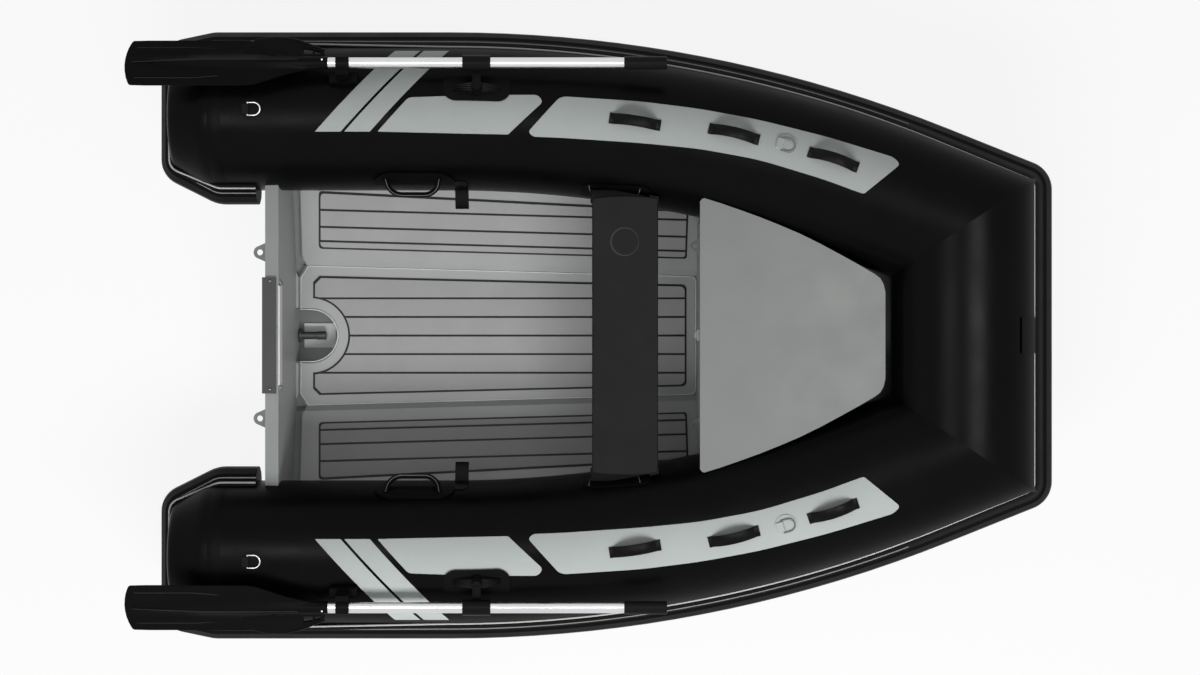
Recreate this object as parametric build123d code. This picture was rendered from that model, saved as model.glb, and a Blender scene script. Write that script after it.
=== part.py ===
"""Rigid inflatable tender: aluminium V hull, three-chamber tube, decks, locker, seat and oars.

Units are millimetres. +X is to the bow, +Y to port, +Z up.
The origin is on the centre plane, amidships, at the waterline.
"""
import math
import os

from build123d import *

# ---------------------------------------------------------------- driving dimensions
TUBE_R = 205.0
TUBE_Y = 613.0
TUBE_Z = 260.0
STERN_CONE_X = -1112.0
STERN_END_X = -1211.0
STERN_END_R = 155.0
STERN_DOME = 12.0
BEND_START_X = -440.0
BEND_ANGLE = 23.3
SHEER_TILT = 16.0
BOW_X = 995.0
BOW_CORNER_Y = 299.0
SEAT_GAP = 0.1

STRAKE_OUT = 34.0
STRAKE_HALF = 58.0
STRAKE_CORNER_R = 46.0
PIPING_H = 10.0

KEEL_Z = -100.0
DECK_Z = 30.0
DECK_T = 3.0
DECK_AFT_X = -889.0
DECK_FORE_X = 273.0
DECK_SLOPE = 14.3
FOLD_AFT_Y = 220.0
FOLD_FORE_Y = 188.0
RISER_W = 15.0
RISER_H = 15.0
SIDE_AFT_X = -880.0
TROUGH_DROP = 16.0

TRANSOM_TOP_Z = 325.0
TRANSOM_AFT_X = -951.0
TRANSOM_T = 36.0
TRANSOM_RAKE = 2.5

WELL_R = 78.0
WELL_X = -857.0
WELL_Z = -45.0

PAD_BACK_T = 1.5
PLANK_T = 3.5
PLANK_GAP = 4.0

SEAT_X = 51.5
SEAT_LEN = 771.0
SEAT_W = 182.0
SEAT_T = 26.0
SEAT_CLEAR = 1.9

LID_Z = 420.0
LID_T = 4.0
LOCKER_FLOOR_Z = 100.0
LOCKER_WALL = 3.0
BULKHEAD_X = 263.0
HINGE_X = 748.0
HINGE_Z = 409.0
HINGE_PIN_R = 4.0
HINGE_CLEAR = 0.3

OAR_R = 15.0
OAR_ANGLE = 30.16
OAR_CLEAR = 36.76
OAR_GRIP_X = 165.0
BLADE_TILT = 30.0
PIVOT_X = -354.0
PIVOT_LEAN = 17.0
PIVOT_PIN_R = 8.0
PIVOT_CLEAR = 0.3
CLIP_X = -719.0
SLEEVE_CLEAR = 0.1

# ---------------------------------------------------------------- derived tube line
TILT = math.radians(SHEER_TILT)
BEND = math.radians(BEND_ANGLE)
RUN_X = BOW_X - BEND_START_X
RUN_IN = (TUBE_Y - BOW_CORNER_Y) / math.cos(TILT)
BEND_R = (RUN_X * math.sin(BEND) - RUN_IN * math.cos(BEND)) / (
    math.sin(BEND) ** 2 - (1 - math.cos(BEND)) * math.cos(BEND))
BOW_RUN = (RUN_X - BEND_R * math.sin(BEND)) / math.cos(BEND)
BOW_Z = TUBE_Z + RUN_IN * math.sin(TILT)


def tube_line(x):
    """Port chamber's centre at a station, as (y, z)."""
    run = max(x - BEND_START_X, 0.0)
    bend_run = BEND_R * math.sin(BEND)
    if run < bend_run:
        inward = BEND_R - math.sqrt(BEND_R ** 2 - run ** 2)
    else:
        inward = BEND_R * (1 - math.cos(BEND)) + (run - bend_run) * math.tan(BEND)
    return TUBE_Y - inward * math.cos(TILT), TUBE_Z + inward * math.sin(TILT)


def inner_edge(x, z):
    """Half width at which the port chamber's inner skin is met at a station and height."""
    y, centre_z = tube_line(x)
    return y - math.sqrt(TUBE_R ** 2 - (z - centre_z) ** 2)


def skin_point(x, angle, lift):
    """Point off the straight part of the port chamber; the angle runs from outboard upwards."""
    turn = math.radians(angle)
    reach = TUBE_R + lift
    return x, TUBE_Y + reach * math.cos(turn), TUBE_Z + reach * math.sin(turn)


# the oar's line lies off the chamber's outboard shoulder
OAR_Y = TUBE_Y + (TUBE_R + OAR_R + OAR_CLEAR) * math.sin(math.radians(OAR_ANGLE))
OAR_Z = TUBE_Z + (TUBE_R + OAR_R + OAR_CLEAR) * math.cos(math.radians(OAR_ANGLE))

# the seat's lower corners clear the chambers; a seat shorter than the gap lies level with their axes
SEAT_EDGE = tube_line(SEAT_X + SEAT_W / 2)
SEAT_CLIMB = (TUBE_R + SEAT_CLEAR) ** 2 - (SEAT_EDGE[0] - SEAT_LEN / 2) ** 2
SEAT_BASE_Z = SEAT_EDGE[1] + math.sqrt(max(SEAT_CLIMB, 0.0))
SEAT_Z = SEAT_BASE_Z + SEAT_T


# ---------------------------------------------------------------- helpers
def block(x0, x1, y0, y1, z0, z1):
    """Box between two corners."""
    centre = Pos((x0 + x1) / 2, (y0 + y1) / 2, (z0 + z1) / 2)
    return centre * Box(abs(x1 - x0), abs(y1 - y0), abs(z1 - z0))


def prism(points, z0, z1):
    """Upright prism over a plan outline."""
    face = make_face(Polyline(*[(x, y, z0) for x, y in points], close=True))
    return extrude(face, amount=z1 - z0, dir=(0, 0, 1))


def section_prism(points, x0, x1):
    """Prism along X over an outline given as (y, z)."""
    face = make_face(Polyline(*[(x0, y, z) for y, z in points], close=True))
    return extrude(face, amount=x1 - x0, dir=(1, 0, 0))


def cylinder(p0, p1, radius):
    """Round bar between two points."""
    start = Vector(*p0)
    line = Vector(*p1) - start
    plane = Plane(origin=start, z_dir=line.normalized())
    return plane * Cylinder(radius, line.length, align=(Align.CENTER, Align.CENTER, Align.MIN))


def bar(points, radius):
    """Bent round bar with ball elbows."""
    shape = cylinder(points[0], points[1], radius)
    for start, end in zip(points[1:], points[2:]):
        shape = shape + cylinder(start, end, radius) + Pos(*start) * Sphere(radius)
    return shape


def mirrored(shape):
    """The same piece on the other side of the centre plane."""
    return mirror(shape, about=Plane.XZ)


def both(shape):
    """Port and starboard pieces together."""
    return Compound(children=list(shape.solids()) + list(mirrored(shape).solids()))


def group(shapes):
    """Separate solids carried as one piece."""
    solids = []
    for shape in shapes:
        solids.extend(shape.solids())
    return Compound(children=solids)


def run_section(section, start, out, heading, legs):
    """Carry a section along straight and curved legs and join the lot.

    legs holds (kind, length or radius, axis, degrees); the section's own x is the outward way.
    """
    origin = Vector(*start)
    out = Vector(*out)
    heading = Vector(*heading)
    solid = None
    for kind, size, axis, degrees in legs:
        plane = Plane(origin=origin, x_dir=out, z_dir=heading)
        face = plane * section
        if kind == "line":
            piece = extrude(face, amount=size, dir=heading)
            origin = origin + heading * size
        else:
            about = Vector(*axis).normalized()
            centre = origin + about.cross(heading) * size
            turn = Axis(centre, about)
            piece = revolve(face, turn, degrees)
            spin = Axis((0, 0, 0), about)
            origin = centre + (origin - centre).rotate(spin, degrees)
            out = out.rotate(spin, degrees)
            heading = heading.rotate(spin, degrees)
        solid = piece if solid is None else solid + piece
    return solid, origin, out, heading


# ---------------------------------------------------------------- tube chambers
BEND_AXIS = (0, -math.sin(TILT), -math.cos(TILT))
SIDE_DIR = Vector(math.cos(BEND), -math.sin(BEND) * math.cos(TILT), math.sin(BEND) * math.sin(TILT))
BOW_DIR = Vector(0, -1, 0)
CORNER = Vector(BOW_X, BOW_CORNER_Y, BOW_Z)


def side_tube(grow):
    """Port chamber with its cone end, grown by a clearance, before the bow joint is cut."""
    radius = TUBE_R + grow
    end_r = STERN_END_R + grow
    cone = make_face(
        Line((STERN_END_X - grow, TUBE_Y, TUBE_Z + end_r), (STERN_CONE_X, TUBE_Y, TUBE_Z + radius))
        + Line((STERN_CONE_X, TUBE_Y, TUBE_Z + radius), (STERN_CONE_X, TUBE_Y, TUBE_Z))
        + Line((STERN_CONE_X, TUBE_Y, TUBE_Z), (STERN_END_X - STERN_DOME - grow, TUBE_Y, TUBE_Z))
        + ThreePointArc((STERN_END_X - STERN_DOME - grow, TUBE_Y, TUBE_Z),
                        (STERN_END_X - STERN_DOME * 0.75 - grow, TUBE_Y, TUBE_Z + end_r * 0.5),
                        (STERN_END_X - grow, TUBE_Y, TUBE_Z + end_r)))
    end = revolve(cone, Axis((STERN_CONE_X, TUBE_Y, TUBE_Z), (1, 0, 0)), 360)
    legs = [
        ("line", BEND_START_X - STERN_CONE_X, None, 0),
        ("turn", BEND_R, BEND_AXIS, BEND_ANGLE),
        ("line", BOW_RUN + 250, None, 0),
    ]
    body = run_section(Circle(radius), (STERN_CONE_X, TUBE_Y, TUBE_Z), (0, 1, 0), (1, 0, 0), legs)[0]
    return end + body


def half_space(point, normal, size=1600):
    """Large block on the far side of a plane."""
    plane = Plane(origin=point, z_dir=normal)
    return plane * Box(size, size, size, align=(Align.CENTER, Align.CENTER, Align.MIN))


MITRE = (SIDE_DIR + BOW_DIR).normalized()


def chambers(grow):
    """Port, bow and starboard chambers, meeting on their mitre planes."""
    port = side_tube(grow) - half_space(CORNER, MITRE)
    bow = cylinder((BOW_X, 700, BOW_Z), (BOW_X, -700, BOW_Z), TUBE_R + grow)
    bow = bow - half_space(CORNER, MITRE * -1)
    bow = bow - mirrored(half_space(CORNER, MITRE * -1))
    return port, bow, mirrored(port)


# ---------------------------------------------------------------- rubbing strake
STRAKE_BODY = [
    (-16, -STRAKE_HALF), (-2, -STRAKE_HALF), (14, -51), (30, -26), (STRAKE_OUT, -8),
    (STRAKE_OUT, 8), (30, 26), (16, 50), (5, STRAKE_HALF), (-16, STRAKE_HALF),
]
PIPING_BODY = [
    (-9, STRAKE_HALF), (3, STRAKE_HALF), (3, STRAKE_HALF + 6), (0, STRAKE_HALF + 9),
    (-3, STRAKE_HALF + PIPING_H), (-6, STRAKE_HALF + 9), (-9, STRAKE_HALF + 6),
]
# x, y, fillet radius of the strake's line round the tube end
STRAKE_END = [
    (STERN_CONE_X + 135, TUBE_Y - TUBE_R - 5.5, 0.0),
    (STERN_CONE_X + 28, TUBE_Y - TUBE_R - 5.5, 60.0),
    (STERN_END_X - 5, TUBE_Y - STERN_END_R + 10.5, 40.0),
    (STERN_END_X - 5, TUBE_Y + STERN_END_R + 25, 40.0),
    (STERN_CONE_X + 15, TUBE_Y + TUBE_R, 80.0),
    (BEND_START_X, TUBE_Y + TUBE_R, 0.0),
]


def end_legs():
    """Straight and turned legs of the strake round the tube end."""
    legs = []
    trimmed = 0.0
    for before, here, after in zip(STRAKE_END, STRAKE_END[1:], STRAKE_END[2:]):
        leg_in = Vector(here[0] - before[0], here[1] - before[1], 0)
        leg_out = Vector(after[0] - here[0], after[1] - here[1], 0)
        angle = leg_in.get_angle(leg_out)
        cut = here[2] * math.tan(math.radians(angle) / 2)
        legs.append(("line", leg_in.length - cut - trimmed, None, 0))
        legs.append(("turn", here[2], (0, 0, -1), angle))
        trimmed = cut
        last = leg_out.length - cut
    legs.append(("line", last, None, 0))
    return legs


def strake_run(points):
    """A strake section carried from the inner stern end to the centre of the bow."""
    section = make_face(Polyline(*points, close=True))
    edge_r = BEND_R + TUBE_R
    edge_tilt = math.asin(math.sin(TILT) * BEND_R / edge_r)
    axis = (0, -math.sin(edge_tilt), -math.cos(edge_tilt))
    legs = end_legs()
    legs.append(("turn", edge_r, axis, BEND_ANGLE))
    start = (STRAKE_END[0][0], STRAKE_END[0][1], TUBE_Z)
    side, origin, out, heading = run_section(section, start, (0, -1, 0), (-1, 0, 0), legs)
    to_corner = (BOW_X + TUBE_R - origin.X) / heading.X
    turn = heading.get_angle(BOW_DIR)
    cut = STRAKE_CORNER_R * math.tan(math.radians(turn) / 2)
    corner = origin + heading * to_corner
    bend_axis = heading.cross(BOW_DIR).normalized()
    bow_legs = [
        ("line", to_corner - cut, None, 0),
        ("turn", STRAKE_CORNER_R, tuple(bend_axis), turn),
        ("line", corner.Y - cut, None, 0),
    ]
    bow = run_section(section, origin, out, heading, bow_legs)[0]
    return side, bow


def strake_parts(tubes):
    """Strake and piping, each as port, bow and starboard lengths."""
    side, bow = strake_run(STRAKE_BODY)
    fore = STERN_CONE_X + 72
    inner, outer = STRAKE_END[1], STRAKE_END[4]
    web = [(fore, inner[1]), inner[:2], (STERN_END_X + 3, STRAKE_END[2][1] + 11.5),
           (STERN_END_X + 3, STRAKE_END[3][1] - 13), outer[:2], (fore, outer[1])]
    side = side + prism(web, TUBE_Z - STRAKE_HALF, TUBE_Z + STRAKE_HALF)
    pip_side, pip_bow = strake_run(PIPING_BODY)
    port, nose, _ = tubes
    side = side - port
    pip_side = pip_side - port
    bow = (bow - port) - nose
    pip_bow = (pip_bow - port) - nose
    bow = bow + mirrored(bow)
    pip_bow = pip_bow + mirrored(pip_bow)
    return side, bow, pip_side, pip_bow


# ---------------------------------------------------------------- hull and decks
# x, keel z, chine y, chine z
HULL_STATIONS = [
    (-960.0, KEEL_Z, 495.0, 60.0),
    (-440.0, KEEL_Z, 495.0, 60.0),
    (0.0, KEEL_Z, 467.0, 68.0),
    (400.0, -64.0, 390.0, 90.0),
    (700.0, 0.0, 299.0, 116.0),
    (900.0, 72.0, 222.0, 138.0),
    (1010.0, 128.0, 180.0, 150.0),
]
HULL_TOP_Z = 180.0
LIP_OUT = 52.0


def fold_y(x):
    """Half width of the flat centre deck at a station."""
    share = (x - DECK_AFT_X) / (DECK_FORE_X - DECK_AFT_X)
    return FOLD_AFT_Y + (FOLD_FORE_Y - FOLD_AFT_Y) * share


def loft_sections(sections):
    """Straight-sided loft through outlines given as (x, [(y, z), ...])."""
    faces = [make_face(Polyline(*[(x, y, z) for y, z in pts], close=True)) for x, pts in sections]
    return loft(faces, ruled=True)


def deck_height(x, y):
    """Height of the deck's top at a station and half width."""
    fold = fold_y(x)
    if y <= fold - RISER_W:
        return DECK_Z
    if y <= fold:
        return DECK_Z + (y - fold + RISER_W) * RISER_H / RISER_W
    return DECK_Z + RISER_H + (y - fold) * math.tan(math.radians(DECK_SLOPE))


def deck_line(x, drop):
    """Foot of the riser, top of the riser and a far outboard point, each lowered by a drop."""
    fold = fold_y(x)
    return [(y, deck_height(x, y) - drop) for y in (fold - RISER_W, fold, fold + 320)]


def side_sheet():
    """Side deck sheet: a short riser and the slope outboard of it."""
    sections = []
    for x in (-1000.0, DECK_FORE_X):
        sections.append((x, deck_line(x, 0.0) + deck_line(x, DECK_T)[::-1]))
    return loft_sections(sections)


def cockpit_cutter(drop):
    """Everything above a level set by a drop from the deck's top, aft of the locker."""
    sections = []
    for x in (-1000.0, DECK_FORE_X):
        line = deck_line(x, drop)
        sections.append((x, [(-1.0, DECK_Z - drop)] + line + [(line[-1][0], 600), (-1.0, 600)]))
    return loft_sections(sections)


def raked(shape):
    """Lean a piece by the transom's rake about its top aft edge."""
    pivot = Axis((TRANSOM_AFT_X, 0, TRANSOM_TOP_Z), (0, 1, 0))
    return shape.rotate(pivot, -TRANSOM_RAKE)


def well_plan(radius, aft_x):
    """Plan of the drain well: straight sides closed by a half circle."""
    edge = (Line((aft_x, -radius), (WELL_X, -radius))
            + ThreePointArc((WELL_X, -radius), (WELL_X + radius, 0), (WELL_X, radius))
            + Line((WELL_X, radius), (aft_x, radius))
            + Line((aft_x, radius), (aft_x, -radius)))
    return make_face(edge)


# x, gap between the locker wall's outer face and the widest line of the chamber
LOCKER_GAPS = [(BULKHEAD_X + LOCKER_WALL, 24.1), (400.0, 18.9), (550.0, 24.0), (690.0, 31.1), (740.0, 47.0)]
# x, gap between the lid's edge and the chamber's skin beside it
LID_GAPS = [
    (257.5, 18.9), (264.0, 9.2), (270.0, 6.6), (312.0, 8.1), (367.0, 11.2), (422.0, 14.1), (477.0, 18.1),
    (532.0, 22.5), (587.0, 29.4), (642.0, 37.8), (697.0, 46.1), (738.5, 53.2), (753.0, 58.0), (762.0, 70.1),
    (767.0, 89.9),
]
BULKHEAD_GAP = 16.8
LOCKER_PLAN = [(x, tube_line(x)[0] - TUBE_R - gap) for x, gap in LOCKER_GAPS]
LID_PLAN = [(x, inner_edge(x, LID_Z - LID_T) - gap) for x, gap in LID_GAPS]


def whole_outline(half):
    """Closed outline from the port half's points."""
    return half + [(x, -y) for x, y in reversed(half)]


def offset_plan(half, inset, aft_x):
    """Port half outline drawn in by an inset, with its aft edge at a given station."""
    points = [(x, y - inset) for x, y in half]
    points[0] = (aft_x, points[0][1])
    x_last, y_last = points[-1]
    points[-1] = (x_last - inset, y_last)
    return points


# plan of the trough between the transom and the decks, port half
TROUGH_PLAN = [
    (-1000.0, -1.0), (DECK_AFT_X - 3, -1.0), (DECK_AFT_X - 3, 170.0), (DECK_AFT_X + 18, FOLD_AFT_Y - RISER_W),
    (SIDE_AFT_X - 3, FOLD_AFT_Y + 2), (SIDE_AFT_X - 3, 560.0), (-1000.0, 560.0),
]


def build_hull(tubes):
    """Welded V hull with its sealed double bottom."""
    sections = []
    for x, keel, chine_y, chine_z in HULL_STATIONS:
        lip = chine_y + LIP_OUT
        sections.append((x, [
            (0, keel), (chine_y, chine_z), (lip, chine_z + 6), (lip, HULL_TOP_Z), (0, HULL_TOP_Z)]))
    half = loft_sections(sections)
    half = half - cockpit_cutter(DECK_T)
    half = half - (cockpit_cutter(DECK_T + TROUGH_DROP) & prism(TROUGH_PLAN, -200, 400))
    for tube in tubes[:2]:
        half = half - tube
    pocket = prism(whole_outline(LOCKER_PLAN), LOCKER_FLOOR_Z, 400)
    behind = raked(block(TRANSOM_AFT_X - 200, TRANSOM_AFT_X + TRANSOM_T, -700, 700, -300, 400))
    well = Pos(0, 0, WELL_Z) * extrude(well_plan(WELL_R, -960), amount=200, dir=(0, 0, 1))
    hull = half + mirrored(half)
    return ((hull - pocket) - behind) - well


def build_transom(tubes):
    """Raked box transom between the tubes."""
    top = TRANSOM_TOP_Z
    outline = [(0, -104), (495, 56), (495, 100), (470, top), (-470, top), (-495, 100), (-495, 56)]
    plate = section_prism(outline, TRANSOM_AFT_X, TRANSOM_AFT_X + TRANSOM_T)
    plate = raked(plate)
    plate = (plate - tubes[0]) - tubes[2]
    return plate - block(-1100, -800, -600, 600, -300, KEEL_Z)


def build_decks(tubes):
    """Flat centre deck with the drain cut-out, and the two sloped side decks."""
    aft = DECK_AFT_X
    fore = DECK_FORE_X
    half = [(aft, 170.0), (aft + 22, fold_y(aft + 22) - RISER_W), (fore, fold_y(fore) - RISER_W)]
    centre = prism(whole_outline(half), DECK_Z - DECK_T, DECK_Z)
    cut = Pos(0, 0, -10) * extrude(well_plan(WELL_R, aft - 40), amount=100, dir=(0, 0, 1))
    centre = centre - cut
    fold = fold_y(SIDE_AFT_X)
    reach = [(SIDE_AFT_X + 12, fold - RISER_W - 1), (SIDE_AFT_X + 3, fold + 3), (SIDE_AFT_X, fold + 14),
             (SIDE_AFT_X, 700), (fore, 700), (fore, fold_y(fore) - RISER_W - 1)]
    side = side_sheet() & prism(reach, -50, 400)
    side = side - tubes[0]
    return centre, side


def deck_plane():
    """Plane on the port side deck: x along the fold, y outward and up, z off the deck."""
    run = Vector(DECK_FORE_X - DECK_AFT_X, FOLD_FORE_Y - FOLD_AFT_Y, 0).normalized()
    slope = math.radians(DECK_SLOPE)
    normal = run.cross(Vector(0, math.cos(slope), math.sin(slope))).normalized()
    return Plane(origin=(DECK_AFT_X, FOLD_AFT_Y, DECK_Z + RISER_H), x_dir=run, z_dir=normal)


# plank edges across the centre deck and, measured out from the fold, across a side deck
CENTRE_GROOVES = [-108.0, -54.0, 0.0, 54.0, 108.0]
SIDE_GROOVES = [58.0, 100.0, 150.0]
SIDE_PAD = (34.0, 190.0)
PAD_X = (-851.0, 234.0)


def pad_half(x):
    """Half width of the centre pad at a station."""
    return 173.0 - 25.0 * (x - PAD_X[0]) / (PAD_X[1] - PAD_X[0])


def centre_pad(inset, thickness, base_z):
    """Centre deck pad body, drawn in by an inset."""
    x0 = PAD_X[0] + inset
    x1 = PAD_X[1] - inset
    half = [(x0, pad_half(x0) - inset - 18), (x0 + 18, pad_half(x0) - inset),
            (x1 - 16, pad_half(x1) - inset), (x1, pad_half(x1) - inset - 16)]
    slab = prism(whole_outline(half), base_z, base_z + thickness)
    cut = Pos(0, 0, base_z - 1) * extrude(well_plan(WELL_R + 30 + inset, -960), amount=9, dir=(0, 0, 1))
    return slab - cut


def build_pads():
    """Black pad backings and the grey planks on them."""
    backing = centre_pad(0.0, PAD_BACK_T, DECK_Z)
    planks = centre_pad(PLANK_GAP, PLANK_T, DECK_Z + PAD_BACK_T)
    for y in CENTRE_GROOVES:
        half = PLANK_GAP / 2
        planks = planks - block(PAD_X[0], PAD_X[1], y - half, y + half, DECK_Z, DECK_Z + 10)
    plane = deck_plane()
    length = DECK_FORE_X - DECK_AFT_X
    s0 = 56.0
    s1 = length - 40.0
    low, high = SIDE_PAD
    outline = [(s0, low), (s1 - 12, low), (s1, low + 12), (s1, high - 22), (s1 - 22, high), (s0, high + 14)]
    face = make_face(Polyline(*outline, close=True))
    side_back = plane * extrude(face, amount=PAD_BACK_T)
    gap = PLANK_GAP
    inner = [(s0 + gap, low + gap), (s1 - 13, low + gap), (s1 - gap, low + 13), (s1 - gap, high - 24),
             (s1 - 24, high - gap), (s0 + gap, high + 14 - gap)]
    top = extrude(make_face(Polyline(*inner, close=True)), amount=PLANK_T)
    for w in SIDE_GROOVES:
        top = top - block(s0, s1, w - gap / 2, w + gap / 2, -1, 10)
    side_planks = plane * (Pos(0, 0, PAD_BACK_T) * top)
    return backing, planks, side_back, side_planks


def build_well():
    """Welded drain well below the centre deck."""
    outer = Pos(0, 0, WELL_Z) * extrude(well_plan(WELL_R - 0.2, -960), amount=DECK_Z - WELL_Z, dir=(0, 0, 1))
    inner = Pos(0, 0, WELL_Z + 3) * extrude(well_plan(WELL_R - 3.2, -970), amount=200, dir=(0, 0, 1))
    behind = raked(block(TRANSOM_AFT_X - 200, TRANSOM_AFT_X + TRANSOM_T, -700, 700, -300, 400))
    return (outer - inner) - behind


def build_drain():
    """Drain pipe through the well with its flange and support plate."""
    z = WELL_Z + 3 + 22
    pipe = cylinder((-896, 0, z), (-819, 0, z), 11)
    bore = cylinder((-897, 0, z), (-818, 0, z), 8)
    flange = cylinder((-896, 0, z), (-890, 0, z), 21)
    foot = block(-885, -800, -36, 36, WELL_Z + 3, WELL_Z + 7)
    stand = block(-860, -846, -8, 8, WELL_Z + 5, z)
    return (pipe + flange + foot + stand) - bore


def build_locker(tubes):
    """Aft bulkhead, open locker box, lid with stiffeners and hinge brackets."""
    fold = fold_y(BULKHEAD_X)
    rim = LID_Z - LID_T - 0.3
    wide = tube_line(BULKHEAD_X)[0] - TUBE_R - BULKHEAD_GAP
    foot = [(fold - RISER_W - 0.2, DECK_Z), (fold, DECK_Z + RISER_H + 0.2),
            (wide, deck_height(BULKHEAD_X, wide) + 0.2)]
    half = [(0, DECK_Z)] + foot + [(wide, rim), (0, rim)]
    outline = half + [(-y, z) for y, z in reversed(half[1:5])]
    bulkhead = section_prism(outline, BULKHEAD_X, BULKHEAD_X + LOCKER_WALL)
    inner = offset_plan(LOCKER_PLAN, LOCKER_WALL, 100.0)
    shell = prism(whole_outline(LOCKER_PLAN), LOCKER_FLOOR_Z, rim)
    shell = shell - prism(whole_outline(inner), LOCKER_FLOOR_Z + LOCKER_WALL, rim + 50)
    lid = prism(whole_outline(LID_PLAN), LID_Z - LID_T, LID_Z)
    for y in (-110.0, 110.0):
        lid = lid + block(300, 690, y - 20, y + 20, LID_Z - LID_T - 12, LID_Z - LID_T)
    brackets = []
    for y in (-95.0, 95.0):
        wall = LOCKER_PLAN[-1][0]
        ears = block(wall, HINGE_X + 4, y - 26, y - 20.5, HINGE_Z - 16, HINGE_Z + 4)
        ears = ears + block(wall, HINGE_X + 4, y + 20.5, y + 26, HINGE_Z - 16, HINGE_Z + 4)
        plate = block(wall, wall + 2, y - 26, y + 26, HINGE_Z - 22, HINGE_Z - 6)
        pin = cylinder((HINGE_X, y - 28, HINGE_Z), (HINGE_X, y + 28, HINGE_Z), HINGE_PIN_R)
        brackets.append(ears + plate + pin)
        sleeve = cylinder((HINGE_X, y - 20, HINGE_Z), (HINGE_X, y + 20, HINGE_Z), 7.0)
        bore = cylinder((HINGE_X, y - 21, HINGE_Z), (HINGE_X, y + 21, HINGE_Z), HINGE_PIN_R + HINGE_CLEAR)
        web = block(HINGE_X - 7, HINGE_X + 7, y - 20, y + 20, HINGE_Z + 2, LID_Z - LID_T)
        lid = lid + ((sleeve + web) - bore)
    return bulkhead, shell, lid, group(brackets)


# ---------------------------------------------------------------- fittings on the tubes
def skin(low, high):
    """Thin layer over the port chamber between two heights."""
    return side_tube(high) - side_tube(low)


# outlines in plan of the aft and fore step patches and the plain raked side bands, port
PATCH_AFT = [
    (-626.0, 557.0), (-269.0, 549.0), (-176.0, 632.0), (-173.0, 640.0), (-187.0, 657.0), (-262.0, 657.0),
    (-262.0, 641.0), (-460.0, 641.0), (-460.0, 653.0), (-541.0, 650.0),
]
PATCH_FORE = [
    (-211.0, 557.0), (-201.0, 544.0), (-127.0, 540.0), (91.0, 525.0), (255.0, 508.0), (417.0, 477.0),
    (590.0, 423.0), (674.0, 391.0), (694.0, 384.0), (700.0, 387.0), (794.0, 460.0), (794.0, 468.0),
    (778.0, 484.0), (600.0, 540.0), (418.0, 587.0), (255.0, 618.0), (91.0, 639.0), (-114.0, 652.0),
    (-128.0, 648.0), (-213.0, 564.0),
]
BANDS = [
    [(-797.0, 557.0), (-727.0, 557.0), (-515.0, 788.0), (-585.0, 788.0)],
    [(-717.0, 557.0), (-647.0, 557.0), (-435.0, 788.0), (-505.0, 788.0)],
]


def build_patches(layer):
    """Grey step patches and plain bands on the port chamber."""
    patches = [layer & prism(plan, 330, 700) for plan in (PATCH_AFT, PATCH_FORE)]
    bands = [layer & prism(plan, 330, 700) for plan in BANDS]
    return group(patches), group(bands)


def surface_frame(x, y):
    """Plane on the port chamber's upper skin: x along the tube, z off the skin."""
    best = None
    steps = 400
    for i in range(steps + 1):
        along = i / steps
        if along < 0.5:
            cx = -1100 + (BEND_START_X + 1100) * along * 2
            point = Vector(cx, TUBE_Y, TUBE_Z)
            heading = Vector(1, 0, 0)
        else:
            turn = BEND * (along - 0.5) * 2
            inward = Vector(0, -math.cos(TILT), math.sin(TILT))
            point = Vector(BEND_START_X, TUBE_Y, TUBE_Z) + Vector(1, 0, 0) * (BEND_R * math.sin(turn))
            point = point + inward * (BEND_R * (1 - math.cos(turn)))
            heading = Vector(1, 0, 0) * math.cos(turn) + inward * math.sin(turn)
        gap = math.hypot(point.X - x, point.Y - y)
        if best is None or gap < best[0]:
            best = (gap, point, heading)
    _, point, heading = best
    across = Vector(x - point.X, y - point.Y, 0)
    rise = math.sqrt(TUBE_R ** 2 - across.length ** 2)
    normal = (across + Vector(0, 0, rise)).normalized()
    normal = (normal - heading * normal.dot(heading)).normalized()
    return Plane(origin=point + normal * TUBE_R, x_dir=heading, z_dir=normal)


# x, y of the middle of each grab strap on the port chamber
STRAPS = [(78.0, 582.0), (347.0, 547.0), (615.0, 476.0)]
STRAP_CHORD = 122.0
STRAP_RISE = 27.0
STRAP_W = 26.0
STRAP_SEAT = 0.35
PATCH_T = 1.6


def build_straps():
    """Arched webbing grab straps on the fore patch."""
    straps = []
    radius = ((STRAP_CHORD / 2) ** 2 + STRAP_RISE ** 2) / (2 * STRAP_RISE)
    for x, y in STRAPS:
        plane = surface_frame(x, y)
        centre_z = PATCH_T + STRAP_RISE - radius
        band = Cylinder(radius, STRAP_W) - Cylinder(radius - 3, STRAP_W + 2)
        ring = Pos(0, 0, centre_z) * Rot(90, 0, 0) * band
        ring = ring & block(-90, 90, -30, 30, -2, 60)
        under = Pos(0, 0, -TUBE_R) * Rot(0, 90, 0) * Cylinder(TUBE_R + PATCH_T + STRAP_SEAT, 300)
        strap = ring - under
        for side in (-1, 1):
            near = side * (STRAP_CHORD / 2 - 5)
            far = side * (STRAP_CHORD / 2 + 22)
            tab = block(min(near, far), max(near, far), -STRAP_W / 2, STRAP_W / 2, -4, PATCH_T + 3)
            strap = strap + (tab - under)
        straps.append(plane * strap)
    return group(straps)


# x, y of each D-ring on the port chamber and the way its curve points
D_RINGS = [(-965.0, 618.0, 1), (493.0, 515.0, 1)]
D_R = 18.0
D_ROD = 2.5


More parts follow.
